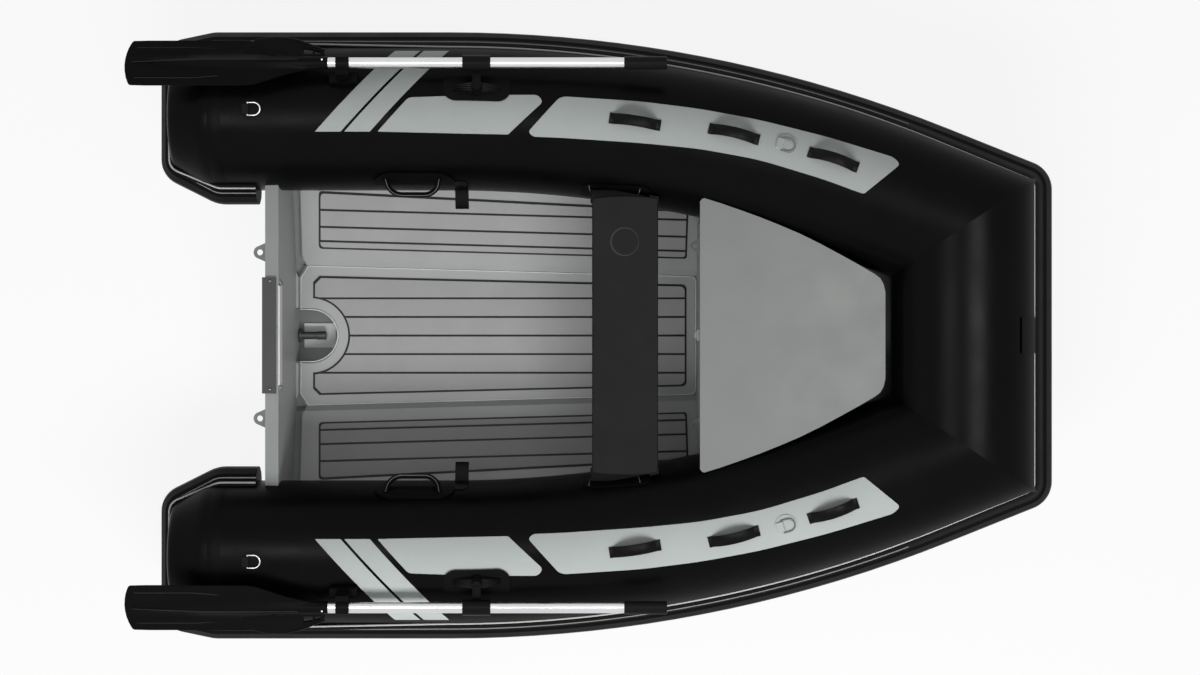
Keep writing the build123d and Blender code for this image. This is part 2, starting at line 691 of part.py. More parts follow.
def build_d_rings(under_by_index):
    """Steel D-rings under webbing tabs on round pads."""
    pads = []
    rings = []
    for (x, y, way), under in zip(D_RINGS, under_by_index):
        plane = surface_frame(x, y)
        lift = 5.2
        bow = Pos(0, 0, lift) * Torus(D_R, D_ROD)
        bow = bow & block(0, 60, -60, 60, 0, 60)
        straight = cylinder((0, -D_R, lift), (0, D_R, lift), D_ROD)
        ends = Pos(0, -D_R, lift) * Sphere(D_ROD) + Pos(0, D_R, lift) * Sphere(D_ROD)
        ring = bow + straight + ends
        clear = cylinder((0, -60, lift), (0, 60, lift), D_ROD + SLEEVE_CLEAR)
        pad = Pos(-6, 0, -1.5) * Cylinder(30, 7)
        tab = block(-20, 6, -13, 13, -2, lift + D_ROD + 1.5)
        pad = (pad + tab) - clear
        pad = pad - block(6.001, 60, -D_R - 6, D_R + 6, 2.3, 40)
        spin = plane
        pads.append((spin * pad) - under)
        rings.append(spin * ring)
    return group(pads), group(rings)


def wedge(x0, x1, angle_low, angle_high):
    """Sector of the space round the straight part of the port chamber."""
    far = TUBE_R * 0.6
    points = [(TUBE_Y, TUBE_Z)] + [skin_point(0, angle, far)[1:] for angle in (angle_low, angle_high)]
    return section_prism(points, x0, x1)


def build_handle(under):
    """Moulded grab handle on the inner side of the port chamber."""
    base = (side_tube(7.0) - under) & wedge(-646, -419, 141.5, 155.5)
    base = base - prism([(-650, 200), (-650, 440), (-628, 415), (-619, 200)], 200, 460)
    base = base - prism([(-415, 200), (-415, 440), (-437, 415), (-446, 200)], 200, 460)
    loop = bar([skin_point(-609, 151.5, 6), skin_point(-603, 159.5, 21), skin_point(-583, 163.2, 28),
                skin_point(-492, 163.2, 28), skin_point(-472, 159.5, 21), skin_point(-466, 151.5, 6)], 8)
    return (base + loop) - under


def build_tab(under):
    """Webbing lashing tab on the port chamber: a glued length and a free end that hangs inboard."""
    inner = TUBE_Y - TUBE_R
    band = (side_tube(3.0) - under) & wedge(-424, -386, 156.0, 190.0)
    hang = [(inner + 10, TUBE_Z + 30), (inner - 35, TUBE_Z + 17), (inner - 50, TUBE_Z), (inner - 54, TUBE_Z),
            (inner - 38, TUBE_Z + 20), (inner + 8, TUBE_Z + 34)]
    free_end = section_prism(hang, -424, -386) - side_tube(3.02)
    return group([band, free_end])


def build_bracket(under):
    """Rubber seat bracket on the port chamber: a pad, a ledge under the seat and a bail at its end."""
    end = SEAT_LEN / 2
    half = SEAT_W / 2
    pad = (side_tube(5.0) - under) & block(SEAT_X - 95, SEAT_X + 104, end - 6, end + 50, SEAT_BASE_Z - 42, 460)
    ledge = block(SEAT_X - half - 6, SEAT_X + half + 6, end - 20, end + 54, SEAT_BASE_Z - 36, SEAT_BASE_Z)
    ribs = []
    for x, lean in ((SEAT_X - 68, 12), (SEAT_X + 70, -8)):
        rib = prism([(x, end + 44), (x + 5, end + 44), (x + lean + 5, end + 1), (x + lean, end + 1)],
                    SEAT_BASE_Z - 30, SEAT_Z - 4)
        ribs.append(rib)
    seat_room = block(SEAT_X - half - 0.2, SEAT_X + half + 0.2, end - 60, end + 0.3, SEAT_BASE_Z, SEAT_Z + 40)
    return (pad + ledge + ribs[0] + ribs[1]) - under - seat_room


def build_seat():
    """Bench seat with rounded edges and its flush hatch cap."""
    body = Pos(SEAT_X, 0, SEAT_Z - SEAT_T / 2) * Box(SEAT_W, SEAT_LEN, SEAT_T)
    body = fillet(body.edges().filter_by(Axis.Z), 14)
    body = fillet(body.faces().sort_by(Axis.Z)[-1].edges(), 5)
    cap_y = SEAT_LEN / 2 - 127.5
    seat_hole = Pos(SEAT_X, cap_y, SEAT_Z) * Cylinder(38, 16)
    body = body - seat_hole
    cap = Pos(SEAT_X, cap_y, SEAT_Z - 3) * Cylinder(37.5, 10)
    cap = fillet(cap.edges().sort_by(Axis.Z)[-1], 2)
    grip = Pos(SEAT_X, cap_y, SEAT_Z + 3) * Box(44, 9, 4)
    return body, cap + grip


def pivot_plane():
    """Plane on the port chamber at the oar's pivot: z along the pin, y outboard."""
    lean = math.radians(PIVOT_LEAN)
    axis = Vector(0, math.sin(lean), math.cos(lean))
    return Plane(origin=Vector(PIVOT_X, TUBE_Y, TUBE_Z) + axis * TUBE_R, x_dir=(1, 0, 0), z_dir=axis)


def oar_in_pivot():
    """Oar line's offset outboard of the pin and its height above the tube."""
    lean = math.radians(PIVOT_LEAN)
    dy = OAR_Y - TUBE_Y - TUBE_R * math.sin(lean)
    dz = OAR_Z - TUBE_Z - TUBE_R * math.cos(lean)
    out = dy * math.cos(lean) - dz * math.sin(lean)
    up = dy * math.sin(lean) + dz * math.cos(lean)
    return out, up


def build_oarlock_base(under):
    """Glued oarlock socket with two ribbed wedges."""
    plane = pivot_plane()
    pad = extrude(SlotOverall(188, 62), amount=14)
    pad = Pos(0, 0, -8) * pad
    boss = Pos(0, 0, 12) * Cylinder(16, 24)
    wedges = Pos(-42, -4, 8) * Box(22, 34, 12) + Pos(42, -4, 8) * Box(22, 34, 12)
    hole = Pos(0, 0, 18) * Cylinder(PIVOT_PIN_R + PIVOT_CLEAR, 30)
    return (plane * ((pad + boss + wedges) - hole)) - under


def build_oarlock():
    """Pin, arm and collar that carry the oar."""
    plane = pivot_plane()
    out, up = oar_in_pivot()
    pin = Pos(0, 0, 18) * Cylinder(PIVOT_PIN_R, 26)
    head = Pos(0, 0, 30) * Cylinder(14, 10)
    arm = block(-11, 11, 0, out, 27, 36)
    riser = block(-13, 13, out - 12, out + 12, 27, up)
    collar = Pos(0, out, up) * Rot(0, 90, 0) * Cylinder(22, 76)
    bore = Pos(0, out, up) * Rot(0, 90, 0) * Cylinder(OAR_R + SLEEVE_CLEAR, 90)
    return plane * ((pin + head + arm + riser + collar) - bore)


def build_clip(under):
    """Stowage clip on the tube, open on its outboard side."""
    lean = math.radians(PIVOT_LEAN)
    plane = Plane(origin=(CLIP_X, OAR_Y, OAR_Z), x_dir=(1, 0, 0), z_dir=(0, math.sin(lean), math.cos(lean)))
    ring = Rot(0, 90, 0) * Cylinder(OAR_R + 6, 36)
    hollow = Rot(0, 90, 0) * Cylinder(OAR_R + 0.6, 50)
    mouth = block(-30, 30, 0, 60, -OAR_R - 0.6, OAR_R + 0.6)
    jaws = block(-18, 18, 0, 9, -OAR_R - 6, OAR_R + 6)
    stem = block(-18, 18, -OAR_R - 22, -OAR_R - 2, -90, 8)
    clip = ((ring + jaws + stem) - hollow) - mouth
    foot = block(-38, 38, -OAR_R - 30, -OAR_R - 2, -64, -26)
    return (plane * (clip + foot)) - under


def build_oar():
    """Shaft, blade and grip of the port oar."""
    shaft = cylinder((-850, OAR_Y, OAR_Z), (OAR_GRIP_X - 6, OAR_Y, OAR_Z), OAR_R)
    hollow = cylinder((-851, OAR_Y, OAR_Z), (OAR_GRIP_X + 1, OAR_Y, OAR_Z), OAR_R - 1.5)
    shaft = shaft - hollow
    grip = cylinder((48, OAR_Y, OAR_Z), (OAR_GRIP_X, OAR_Y, OAR_Z), 18)
    grip = fillet(grip.edges(), 4)
    grip = grip - cylinder((47, OAR_Y, OAR_Z), (OAR_GRIP_X - 5, OAR_Y, OAR_Z), OAR_R + SLEEVE_CLEAR)
    half = [
        (-1312.0, 12.0), (-1310.0, 40.0), (-1305.0, 60.0), (-1296.0, 70.5), (-1284.0, 75.0), (-1000.0, 75.0),
        (-970.0, 73.0), (-945.0, 67.0), (-900.0, 49.0), (-860.0, 34.0), (-820.0, 24.0),
    ]
    sheet = prism(whole_outline(half), -3, 3)
    spine = cylinder((-1180, 0, 0), (-758, 0, 0), 18)
    nose = Pos(-1180, 0, 0) * Sphere(18)
    spine = spine + (Pos(-1180, 0, 0) * Rot(0, -90, 0) * Cone(18, 5, 120, align=(
        Align.CENTER, Align.CENTER, Align.MIN)))
    ribs = block(-1260, -1040, 42, 50, -6, 6) + block(-1260, -1040, -50, -42, -6, 6)
    blade = (sheet + spine + ribs) - cylinder((-852, 0, 0), (-700, 0, 0), OAR_R + SLEEVE_CLEAR)
    blade = Pos(0, OAR_Y, OAR_Z) * Rot(-BLADE_TILT, 0, 0) * blade
    return shaft, blade, grip


def build_stern_fittings():
    """Motor pad, clamp plate, centre gusset and tow eyes on the transom."""
    top = TRANSOM_TOP_Z
    aft = TRANSOM_AFT_X
    fore = aft + TRANSOM_T
    pad = block(aft - 8, aft, -160, 160, top - 150, top - 2)
    pad = fillet(pad.edges().filter_by(Axis.X), 8)
    rail = block(aft - 8, fore - 5, -162, 162, top, top + 5)
    for y in (-151.0, 151.0):
        rail = rail + Pos(aft + 14, y, top + 6) * Cylinder(5, 2.4)
    plate = block(fore, fore + 8, -138, 138, top - 46, top - 1)
    eyes = []
    pad, rail, plate = [raked(piece) for piece in (pad, rail, plate)]
    for y in (-234.0, 234.0):
        tongue = block(aft - 46, aft, y - 32, y + 32, 246, 252)
        tongue = tongue - Pos(aft - 28, y, 249) * Cylinder(8.5, 20)
        nose = prism([(aft - 46, y - 12), (aft - 46, y + 12), (aft - 8, y + 32), (aft, y + 32),
                      (aft, y - 32), (aft - 8, y - 32)], 240, 260)
        eyes.append(raked(tongue & nose))
    return pad, rail, plate, eyes


def main():
    """Build every piece and write one STEP file per node."""
    solid = chambers(0.0)
    clear = chambers(SEAT_GAP)
    side, bow, pip_side, pip_bow = strake_parts(clear)
    deck_clear = chambers(0.3)
    hull = build_hull(deck_clear)
    transom = build_transom(deck_clear)
    deck_centre, deck_side = build_decks(deck_clear)
    backing, planks, side_back, side_planks = build_pads()
    bulkhead, box, lid, hinges = build_locker(deck_clear)
    layer = skin(SEAT_GAP, PATCH_T)
    patches, bands = build_patches(layer)
    on_tube = side_tube(SEAT_GAP)
    on_patch = side_tube(PATCH_T + SEAT_GAP)
    straps = build_straps()
    pads, rings = build_d_rings([on_tube, on_patch])
    seat, cap = build_seat()
    shaft, blade, grip = build_oar()
    oarlock = build_oarlock()
    motor_pad, rail, clamp, eyes = build_stern_fittings()
    bow_pad = cylinder((BOW_X, 52, BOW_Z), (BOW_X, -52, BOW_Z), TUBE_R + 4)
    bow_pad = bow_pad - cylinder((BOW_X, 60, BOW_Z), (BOW_X, -60, BOW_Z), TUBE_R + SEAT_GAP)
    bow_pad = bow_pad & block(BOW_X + TUBE_R * 0.645, BOW_X + TUBE_R * 0.863, -49, 49, BOW_Z, 700)
    latch = block(BULKHEAD_X - 14, BULKHEAD_X, -15, 15, 366, 405) + block(
        BULKHEAD_X - 20, BULKHEAD_X - 14, -8, 8, 360, 398)
    ties = []
    for y in (-254.0, 254.0):
        plate = block(BULKHEAD_X - 3, BULKHEAD_X, y - 16, y + 16, 180, 212)
        root, tip = BULKHEAD_X - 2, BULKHEAD_X - 20
        loop = bar([(root, y - 10, 196), (tip, y - 10, 196), (tip, y + 10, 196), (root, y + 10, 196)], 3)
        ties.append(plate + (loop & block(0, BULKHEAD_X - 1, y - 30, y + 30, 100, 300)))
    guard = section_prism([(0, KEEL_Z), (34, KEEL_Z + 34 * 160 / 495), (34, KEEL_Z + 3), (0, KEEL_Z - 8),
                           (-34, KEEL_Z + 3), (-34, KEEL_Z + 34 * 160 / 495)], -890, -440)

    nodes = {
        "hull": hull,
        "keel_guard": guard,
        "transom": transom,
        "deck_centre": deck_centre,
        "deck_port": deck_side,
        "deck_starboard": mirrored(deck_side),
        "pad_backings": group([backing, side_back, mirrored(side_back)]),
        "planks_centre": planks,
        "planks_port": side_planks,
        "planks_starboard": mirrored(side_planks),
        "drain_well": build_well(),
        "drain_pipe": build_drain(),
        "tube_port": solid[0],
        "tube_bow": solid[1],
        "tube_starboard": solid[2],
        "strake_port": side,
        "strake_bow": bow,
        "strake_starboard": mirrored(side),
        "piping_port": pip_side,
        "piping_bow": pip_bow,
        "piping_starboard": mirrored(pip_side),
        "step_patches": both(patches),
        "side_bands": both(bands),
        "grab_straps_port": straps,
        "grab_straps_starboard": group([mirrored(straps)]),
        "grab_handle_port": build_handle(on_tube),
        "grab_handle_starboard": mirrored(build_handle(on_tube)),
        "lashing_tabs": both(build_tab(on_tube)),
        "seat_brackets": both(build_bracket(on_tube)),
        "seat": seat,
        "seat_cap": cap,
        "locker_bulkhead": bulkhead,
        "locker_box": box,
        "locker_lid": lid,
        "lid_hinges": hinges,
        "locker_latch": latch,
        "tie_eyes": group(ties),
        "motor_pad": motor_pad,
        "transom_cap": rail,
        "clamp_plate": clamp,
        "tow_eyes": group(eyes),
        "d_ring_pads": both(pads),
        "d_rings": both(rings),
        "bow_pad": bow_pad,
        "oarlock_bases": both(build_oarlock_base(on_tube)),
        "oar_clips": both(build_clip(on_tube)),
        "oarlock_port": oarlock,
        "oar_shaft_port": shaft,
        "oar_blade_port": blade,
        "oar_grip_port": grip,
        "oarlock_starboard": mirrored(oarlock),
        "oar_shaft_starboard": mirrored(shaft),
        "oar_blade_starboard": mirrored(blade),
        "oar_grip_starboard": mirrored(grip),
    }
    os.makedirs("parts", exist_ok=True)
    for name, shape in nodes.items():
        export_step(shape, f"parts/{name}.step")


main()
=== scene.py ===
"""Dresses the rigid inflatable tender: fabric air chambers, foam decks, webbing, oars and studio light."""
import logging
import math
from dataclasses import dataclass, field
from enum import Enum
from typing import Callable, Optional, Sequence

import bmesh
import bpy
from mathutils import Matrix, Vector


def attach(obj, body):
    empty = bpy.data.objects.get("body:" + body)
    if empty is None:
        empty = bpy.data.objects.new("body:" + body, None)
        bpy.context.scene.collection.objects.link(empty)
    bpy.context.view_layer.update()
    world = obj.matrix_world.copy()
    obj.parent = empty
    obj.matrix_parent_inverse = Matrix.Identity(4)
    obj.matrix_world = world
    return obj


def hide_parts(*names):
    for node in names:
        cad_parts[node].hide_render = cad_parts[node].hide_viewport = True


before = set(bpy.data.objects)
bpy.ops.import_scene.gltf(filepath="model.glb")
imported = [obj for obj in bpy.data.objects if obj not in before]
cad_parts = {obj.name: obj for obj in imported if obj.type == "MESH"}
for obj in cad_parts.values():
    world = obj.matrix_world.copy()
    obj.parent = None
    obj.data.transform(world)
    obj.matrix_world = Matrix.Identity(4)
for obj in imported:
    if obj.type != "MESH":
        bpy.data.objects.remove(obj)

LOG = logging.getLogger("tender")
MM = 0.001
CLOUD_SCALE = 9.0  # soft patches of wear about 11 cm apart
CLOUD_SPAN = (0.32, 0.68)  # part of the noise between the darkest and the lightest shade
WEAR = 0.05  # how far the roughness strays to either side
SMOOTHEST = 0.05  # no roughness goes below this
RELIEF_SHARE = 0.15  # height of the fine relief, as a share of its pitch
WELD = 1e-6  # points closer than this are one, in metres
SKIN_GAP = 0.0001  # the lowest glued layer's lift off the chamber
Point = tuple[float, float, float]
Plan = list[tuple[float, float]]


# ------------------------------------------------------------------ finishes
class Grain(Enum):
    """How a surface was made, which sets its fine pattern."""

    MOULDED = "moulded"
    COATED_CLOTH = "coated cloth"
    EMBOSSED = "embossed"
    WEBBING = "webbing"
    BRUSHED = "brushed"
    POWDER = "powder coat"
    DRAWN = "drawn metal"


def linear(hex_code: str) -> tuple[float, float, float, float]:
    """Turn an sRGB hex colour to linear.

    Args:
        hex_code: Six hex digits with or without a leading hash.

    Returns:
        Linear red, green, blue and an alpha of one.
    """
    digits = hex_code.lstrip("#")
    channels = [int(digits[i:i + 2], 16) / 255 for i in (0, 2, 4)]
    curve = [c / 12.92 if c <= 0.04045 else ((c + 0.055) / 1.055) ** 2.4 for c in channels]
    return (curve[0], curve[1], curve[2], 1.0)


def add_node(tree: bpy.types.NodeTree, kind: str, links: Optional[dict] = None, **settings) -> bpy.types.Node:
    """Add a node with its settings and links.

    Args:
        tree: Tree that gets the node.
        kind: Blender's node type name.
        links: Input key to an output socket, or to a plain value.
        settings: Attributes set on the node.

    Returns:
        The new node.
    """
    made = tree.nodes.new(kind)
    for key, value in settings.items():
        setattr(made, key, value)
    for key, value in (links or {}).items():
        if isinstance(value, bpy.types.NodeSocket):
            tree.links.new(value, made.inputs[key])
        else:
            made.inputs[key].default_value = value
    return made


@dataclass(frozen=True)
class Finish:
    """One material: what it is, its colour and how its surface was made."""

    name: str
    colour: str
    roughness: float
    grain: Grain
    pitch_mm: float
    bump: float = 0.2
    shade: float = 0.08
    metallic: float = 0.0
    ior: float = 1.5
    gloss: float = 0.5
    stretch: tuple[float, float, float] = (1.0, 1.0, 1.0)

    def height(self, tree: bpy.types.NodeTree, coords: bpy.types.NodeSocket) -> bpy.types.NodeSocket:
        """Build the fine relief.

        Args:
            tree: Material tree.
            coords: Object coordinates in metres.

        Returns:
            The height socket, from zero to one.
        """
        per_m = 1000.0 / self.pitch_mm
        mapped = add_node(tree, "ShaderNodeMapping", {
            "Vector": coords, "Scale": Vector([per_m * s for s in self.stretch])})
        at = mapped.outputs["Vector"]
        if self.grain in (Grain.COATED_CLOTH, Grain.WEBBING, Grain.EMBOSSED):
            warp, weft = [
                add_node(tree, "ShaderNodeTexWave", {"Vector": at, "Scale": 0.5},
                         wave_type="BANDS", bands_direction=way, wave_profile="SIN") for way in "XY"]
            mode = "MAXIMUM" if self.grain is Grain.EMBOSSED else "MULTIPLY"
            both = add_node(tree, "ShaderNodeMath", {0: warp.outputs["Fac"], 1: weft.outputs["Fac"]},
                            operation=mode)
            return both.outputs[0]
        if self.grain is Grain.POWDER:
            cells = add_node(tree, "ShaderNodeTexVoronoi", {"Vector": at, "Scale": 1.0},
                             feature="SMOOTH_F1")
            return cells.outputs["Distance"]
        noise = add_node(tree, "ShaderNodeTexNoise", {
            "Vector": at, "Scale": 1.0, "Detail": 4.0, "Roughness": 0.6})
        return noise.outputs["Fac"]

    def material(self) -> bpy.types.Material:
        """Build the node material, once.

        Returns:
            The material, shared by all pieces of this finish.
        """
        made = bpy.data.materials.get(self.name)
        if made:
            return made
        made = bpy.data.materials.new(self.name)
        made.use_nodes = True
        tree = made.node_tree
        tree.nodes.clear()
        coords = add_node(tree, "ShaderNodeTexCoord").outputs["Object"]
        relief = self.height(tree, coords)
        broad = add_node(tree, "ShaderNodeTexNoise", {
            "Vector": coords, "Scale": CLOUD_SCALE, "Detail": 3.0, "Roughness": 0.55}).outputs["Fac"]
        base = linear(self.colour)
        ramp = add_node(tree, "ShaderNodeValToRGB", {"Fac": broad})
        for stop, at, share in zip(ramp.color_ramp.elements, CLOUD_SPAN, (1 - self.shade, 1 + self.shade)):
            stop.position = at
            stop.color = tuple(min(1.0, c * share) for c in base[:3]) + (1.0,)
        worn = add_node(tree, "ShaderNodeMapRange", {
            "Value": broad, "From Min": 0.3, "From Max": 0.7,
            "To Min": max(SMOOTHEST, self.roughness - WEAR), "To Max": min(1.0, self.roughness + WEAR)})
        raised = add_node(tree, "ShaderNodeBump", {
            "Height": relief, "Strength": self.bump, "Distance": RELIEF_SHARE * MM * self.pitch_mm})
        shader = add_node(tree, "ShaderNodeBsdfPrincipled", {
            "Base Color": ramp.outputs["Color"], "Roughness": worn.outputs["Result"],
            "Normal": raised.outputs["Normal"], "Metallic": self.metallic, "IOR": self.ior,
            "Specular IOR Level": self.gloss})
        add_node(tree, "ShaderNodeOutputMaterial", {"Surface": shader.outputs["BSDF"]})
        return made


# Hypalon-type coated cloth, calendered: near black, its weave breaks the gloss up
CHAMBER_CLOTH = Finish(
    "coated_fabric_black", "#070707", 0.32, Grain.COATED_CLOTH, 1.6, 0.10, 0.10, gloss=0.05)
TAPE_CLOTH = Finish("seam_tape_black", "#070707", 0.38, Grain.COATED_CLOTH, 1.6, 0.2, 0.06, gloss=0.05)
# Calendered grey cloth with an embossed non-slip face: matt and even
PATCH_CLOTH = Finish("embossed_fabric_grey", "#B2B8B6", 0.62, Grain.EMBOSSED, 3.2, 0.30, 0.02, gloss=0.2)
# Extruded rubber: matt black with fine drag lines
STRAKE_RUBBER = Finish("extruded_rubber_black", "#090909", 0.45, Grain.MOULDED, 3.0, 0.12, 0.10, gloss=0.05)
PIPING_RUBBER = Finish("extruded_rubber_pale", "#BEBEBC", 0.5, Grain.MOULDED, 2.0, 0.1, 0.03, gloss=0.3)
PIPING_WORN = Finish("extruded_rubber_grey", "#8E8E8C", 0.55, Grain.MOULDED, 2.0, 0.1, 0.05, gloss=0.2)
MOULDED_RUBBER = Finish("moulded_rubber_black", "#080808", 0.42, Grain.MOULDED, 1.5, 0.2, 0.10, gloss=0.06)
# Rubber a shade lighter and glossier for the oarlock wedges, and grey rubber for thin rods on the handles and
# bench brackets: painted highlights on ribs and edges
WEDGE_HIGHLIGHT_RUBBER = Finish("moulded_rubber_worn", "#0E0E0E", 0.30, Grain.MOULDED, 1.5, 0.2, 0.10, gloss=0.22)
GREY_HIGHLIGHT_RUBBER = Finish("moulded_rubber_scuffed", "#6A6A6A", 0.45, Grain.MOULDED, 1.5, 0.2, 0.08, gloss=0.3)
# Woven polyester webbing: a coarse weave that breaks the highlight, sewn with duller thread
STRAP_WEBBING = Finish("polyester_webbing_black", "#050505", 0.32, Grain.WEBBING, 2.0, 0.4, 0.10, gloss=0.10)
STITCH_THREAD = Finish("polyester_thread_black", "#1A1A1A", 0.6, Grain.MOULDED, 0.8, 0.3, 0.1, gloss=0.3)
# Powder-coated aluminium sheet: slight orange peel
HULL_COAT = Finish("powder_coat_hull", "#828683", 0.42, Grain.POWDER, 1.2, 0.10, 0.03)
DECK_COAT = Finish("powder_coat_deck", "#ABADAC", 0.45, Grain.POWDER, 1.2, 0.10, 0.03)
# Near white, for the bead round the centre deck and the strip at its fore end: painted highlight and painted
# light
DECK_PAINTED_LIGHT = Finish("powder_coat_painted_light", "#E4E6E5", 0.35, Grain.POWDER, 1.2, 0.05, 0.02)
WELL_COAT = Finish("powder_coat_well", "#707371", 0.45, Grain.POWDER, 1.2, 0.10, 0.03)
WELL_PAD = Finish("powder_coat_pad", "#E6EAE8", 0.45, Grain.POWDER, 1.2, 0.10, 0.03)
LID_COAT = Finish("powder_coat_lid", "#7A7D7B", 0.45, Grain.POWDER, 1.2, 0.10, 0.02)
FITTING_COAT = Finish("powder_coat_fitting", "#7A7E7C", 0.42, Grain.POWDER, 1.0, 0.10, 0.03)
# Closed-cell foam, brushed along the boat
FOAM_GREY = Finish(
    "brushed_foam_grey", "#AFAFAF", 0.75, Grain.BRUSHED, 1.6, 0.5, 0.04, gloss=0.3, stretch=(0.05, 1, 1))
# Its backing: dead black, with hardly any gloss; the same black paints the shadow round the bench hatch
FOAM_BLACK_AND_SHADE = Finish("foam_black", "#050505", 0.9, Grain.MOULDED, 1.6, 0.2, 0.1, gloss=0.03)
# Moulded plastics: near black or grey, slightly grained, with a soft sheen
SEAT_PLASTIC = Finish("rotomoulded_polyethylene", "#191919", 0.6, Grain.MOULDED, 0.9, 0.25, 0.04, gloss=0.12)
FITTING_NYLON = Finish("glass_filled_nylon_black", "#0A0A0A", 0.42, Grain.MOULDED, 0.9, 0.2, 0.08, gloss=0.08)
MOTOR_PAD_PLASTIC = Finish("abs_grey", "#444444", 0.5, Grain.MOULDED, 1.0, 0.2, 0.05, gloss=0.3)
CLAMP_PLASTIC = Finish("hdpe_white", "#EDEDEB", 0.45, Grain.MOULDED, 1.5, 0.1, 0.02)
# Extruded pipe
PIPE_PLASTIC = Finish("pvc_pipe_grey", "#3A3E3C", 0.4, Grain.MOULDED, 1.0, 0.1, 0.05)
# Drawn metals: bright where they mirror the sky, tumbled ones dull
OAR_METAL = Finish("anodised_aluminium", "#D2D2D4", 0.28, Grain.DRAWN, 0.8, 0.0, 0.02, metallic=1.0)
DULL_STEEL = Finish("stainless_tumbled", "#707070", 0.5, Grain.DRAWN, 0.5, 0.02, 0.03, metallic=1.0)
STEEL = Finish("stainless_steel", "#DADADA", 0.25, Grain.DRAWN, 0.5, 0.02, 0.03, metallic=1.0)
# Nylon filled with glass: matt black, with grey lines on its ribs and spine that are painted highlights; the
# grip is dipped and softer
BLADE_NYLON = Finish("glass_filled_nylon_blade", "#080808", 0.44, Grain.MOULDED, 1.2, 0.2, 0.1, gloss=0.05)
BLADE_PAINTED_HIGHLIGHT = Finish("glass_filled_nylon_scuffed", "#2E2E2E", 0.5, Grain.MOULDED, 1.2, 0.2, 0.1, gloss=0.1)
GRIP_VINYL = Finish("dipped_vinyl_black", "#101010", 0.5, Grain.MOULDED, 1.2, 0.3, 0.08, gloss=0.08)


# ------------------------------------------------------------------ mesh making
def linked(name: str, data: bpy.types.ID) -> bpy.types.Object:
    """Put an object of a mesh, curve, lamp or camera in the scene.

    Args:
        name: Object name.
        data: What it shows.

    Returns:
        The object, at the origin.
    """
    made = bpy.data.objects.new(name, data)
    bpy.context.scene.collection.objects.link(made)
    return made


def from_bmesh(name: str, work: bmesh.types.BMesh) -> bpy.types.Object:
    """Turn edited geometry to an object, and free it.

    Args:
        name: Object name.
        work: The edited geometry.

    Returns:
        The object, at the origin.
    """
    mesh = bpy.data.meshes.new(name)
    work.to_mesh(mesh)
    work.free()
    return linked(name, mesh)


def new_mesh(name: str, verts: Sequence, faces: Sequence, sharp_deg: float = 35.0) -> bpy.types.Object:
    """Make a smooth-shaded object from points and faces.

    Args:
        name: Object name.
        verts: Points in metres.
        faces: Index tuples, outward.
        sharp_deg: Edges sharper than this stay crisp.

    Returns:
        The object, at the origin.
    """
    mesh = bpy.data.meshes.new(name)
    mesh.from_pydata([tuple(v) for v in verts], [], [tuple(f) for f in faces])
    mesh.validate()
    piece = linked(name, mesh)
    finish_mesh(piece, sharp_deg)
    return piece


def finish_mesh(piece: bpy.types.Object, sharp_deg: float = 35.0) -> None:
    """Merge doubles, point faces outwards and set smooth shading.

    Args:
        piece: Object whose mesh is finished.
        sharp_deg: Edges sharper than this stay crisp.
    """
    work = bmesh.new()
    work.from_mesh(piece.data)
    bmesh.ops.remove_doubles(work, verts=work.verts, dist=WELD)
    bmesh.ops.recalc_face_normals(work, faces=work.faces)
    work.to_mesh(piece.data)
    work.free()
    piece.data.shade_smooth()
    piece.data.set_sharp_from_angle(angle=math.radians(sharp_deg))
    piece.data.update()


def rings_mesh(name: str, rings: Sequence[Sequence], closed: bool = True, caps: bool = False,
               sharp_deg: float = 35.0) -> bpy.types.Object:
    """Skin a run of rings.

    Args:
        name: Object name.
        rings: Rings with the same number of points.
        closed: Whether each ring closes on itself.
        caps: Whether the first and last ring are filled.
        sharp_deg: Crease limit.

    Returns:
        The object.
    """
    count = len(rings[0])
    verts = [p for ring in rings for p in ring]
    faces = []
    span = count if closed else count - 1
    for i in range(len(rings) - 1):
        for j in range(span):
            k = (j + 1) % count
            faces.append((i * count + j, i * count + k, (i + 1) * count + k, (i + 1) * count + j))
    if caps:
        faces.append(tuple(range(count)))
        faces.append(tuple(range((len(rings) - 1) * count, len(rings) * count)))
    return new_mesh(name, verts, faces, sharp_deg)


def bake(piece: bpy.types.Object) -> bpy.types.Object:
    """Apply a piece's modifiers and place, and leave a plain mesh at the origin.

    Args:
        piece: Mesh or curve object.

    Returns:
        The plain mesh object of the same name.
    """
    bpy.context.view_layer.update()
    graph = bpy.context.evaluated_depsgraph_get()
    mesh = bpy.data.meshes.new_from_object(piece.evaluated_get(graph))
    mesh.transform(piece.matrix_world)
    name = piece.name
    bpy.data.objects.remove(piece)
    return linked(name, mesh)


def bevelled(piece: bpy.types.Object, width: float, segments: int = 3) -> bpy.types.Object:
    """Round a piece's edges.

    Args:
        piece: Mesh object.
        width: Bevel width in metres.
        segments: Steps across the round.

    Returns:
        The rounded plain mesh.
    """
    mod = piece.modifiers.new("round", "BEVEL")
    mod.width = width
    mod.segments = segments
    mod.limit_method = "ANGLE"
    mod.angle_limit = math.radians(30)
    done = bake(piece)
    finish_mesh(done, 12.0)
    return done


def mirrored(piece: bpy.types.Object, name: str) -> bpy.types.Object:
    """Copy a port piece to starboard.

    Args:
        piece: Port mesh.
        name: Name of the copy.

    Returns:
        The starboard mesh, facing outwards.
    """
    mesh = piece.data.copy()
    mesh.transform(Matrix.Scale(-1, 4, Vector((0, 1, 0))))
    mesh.flip_normals()
    return linked(name, mesh)


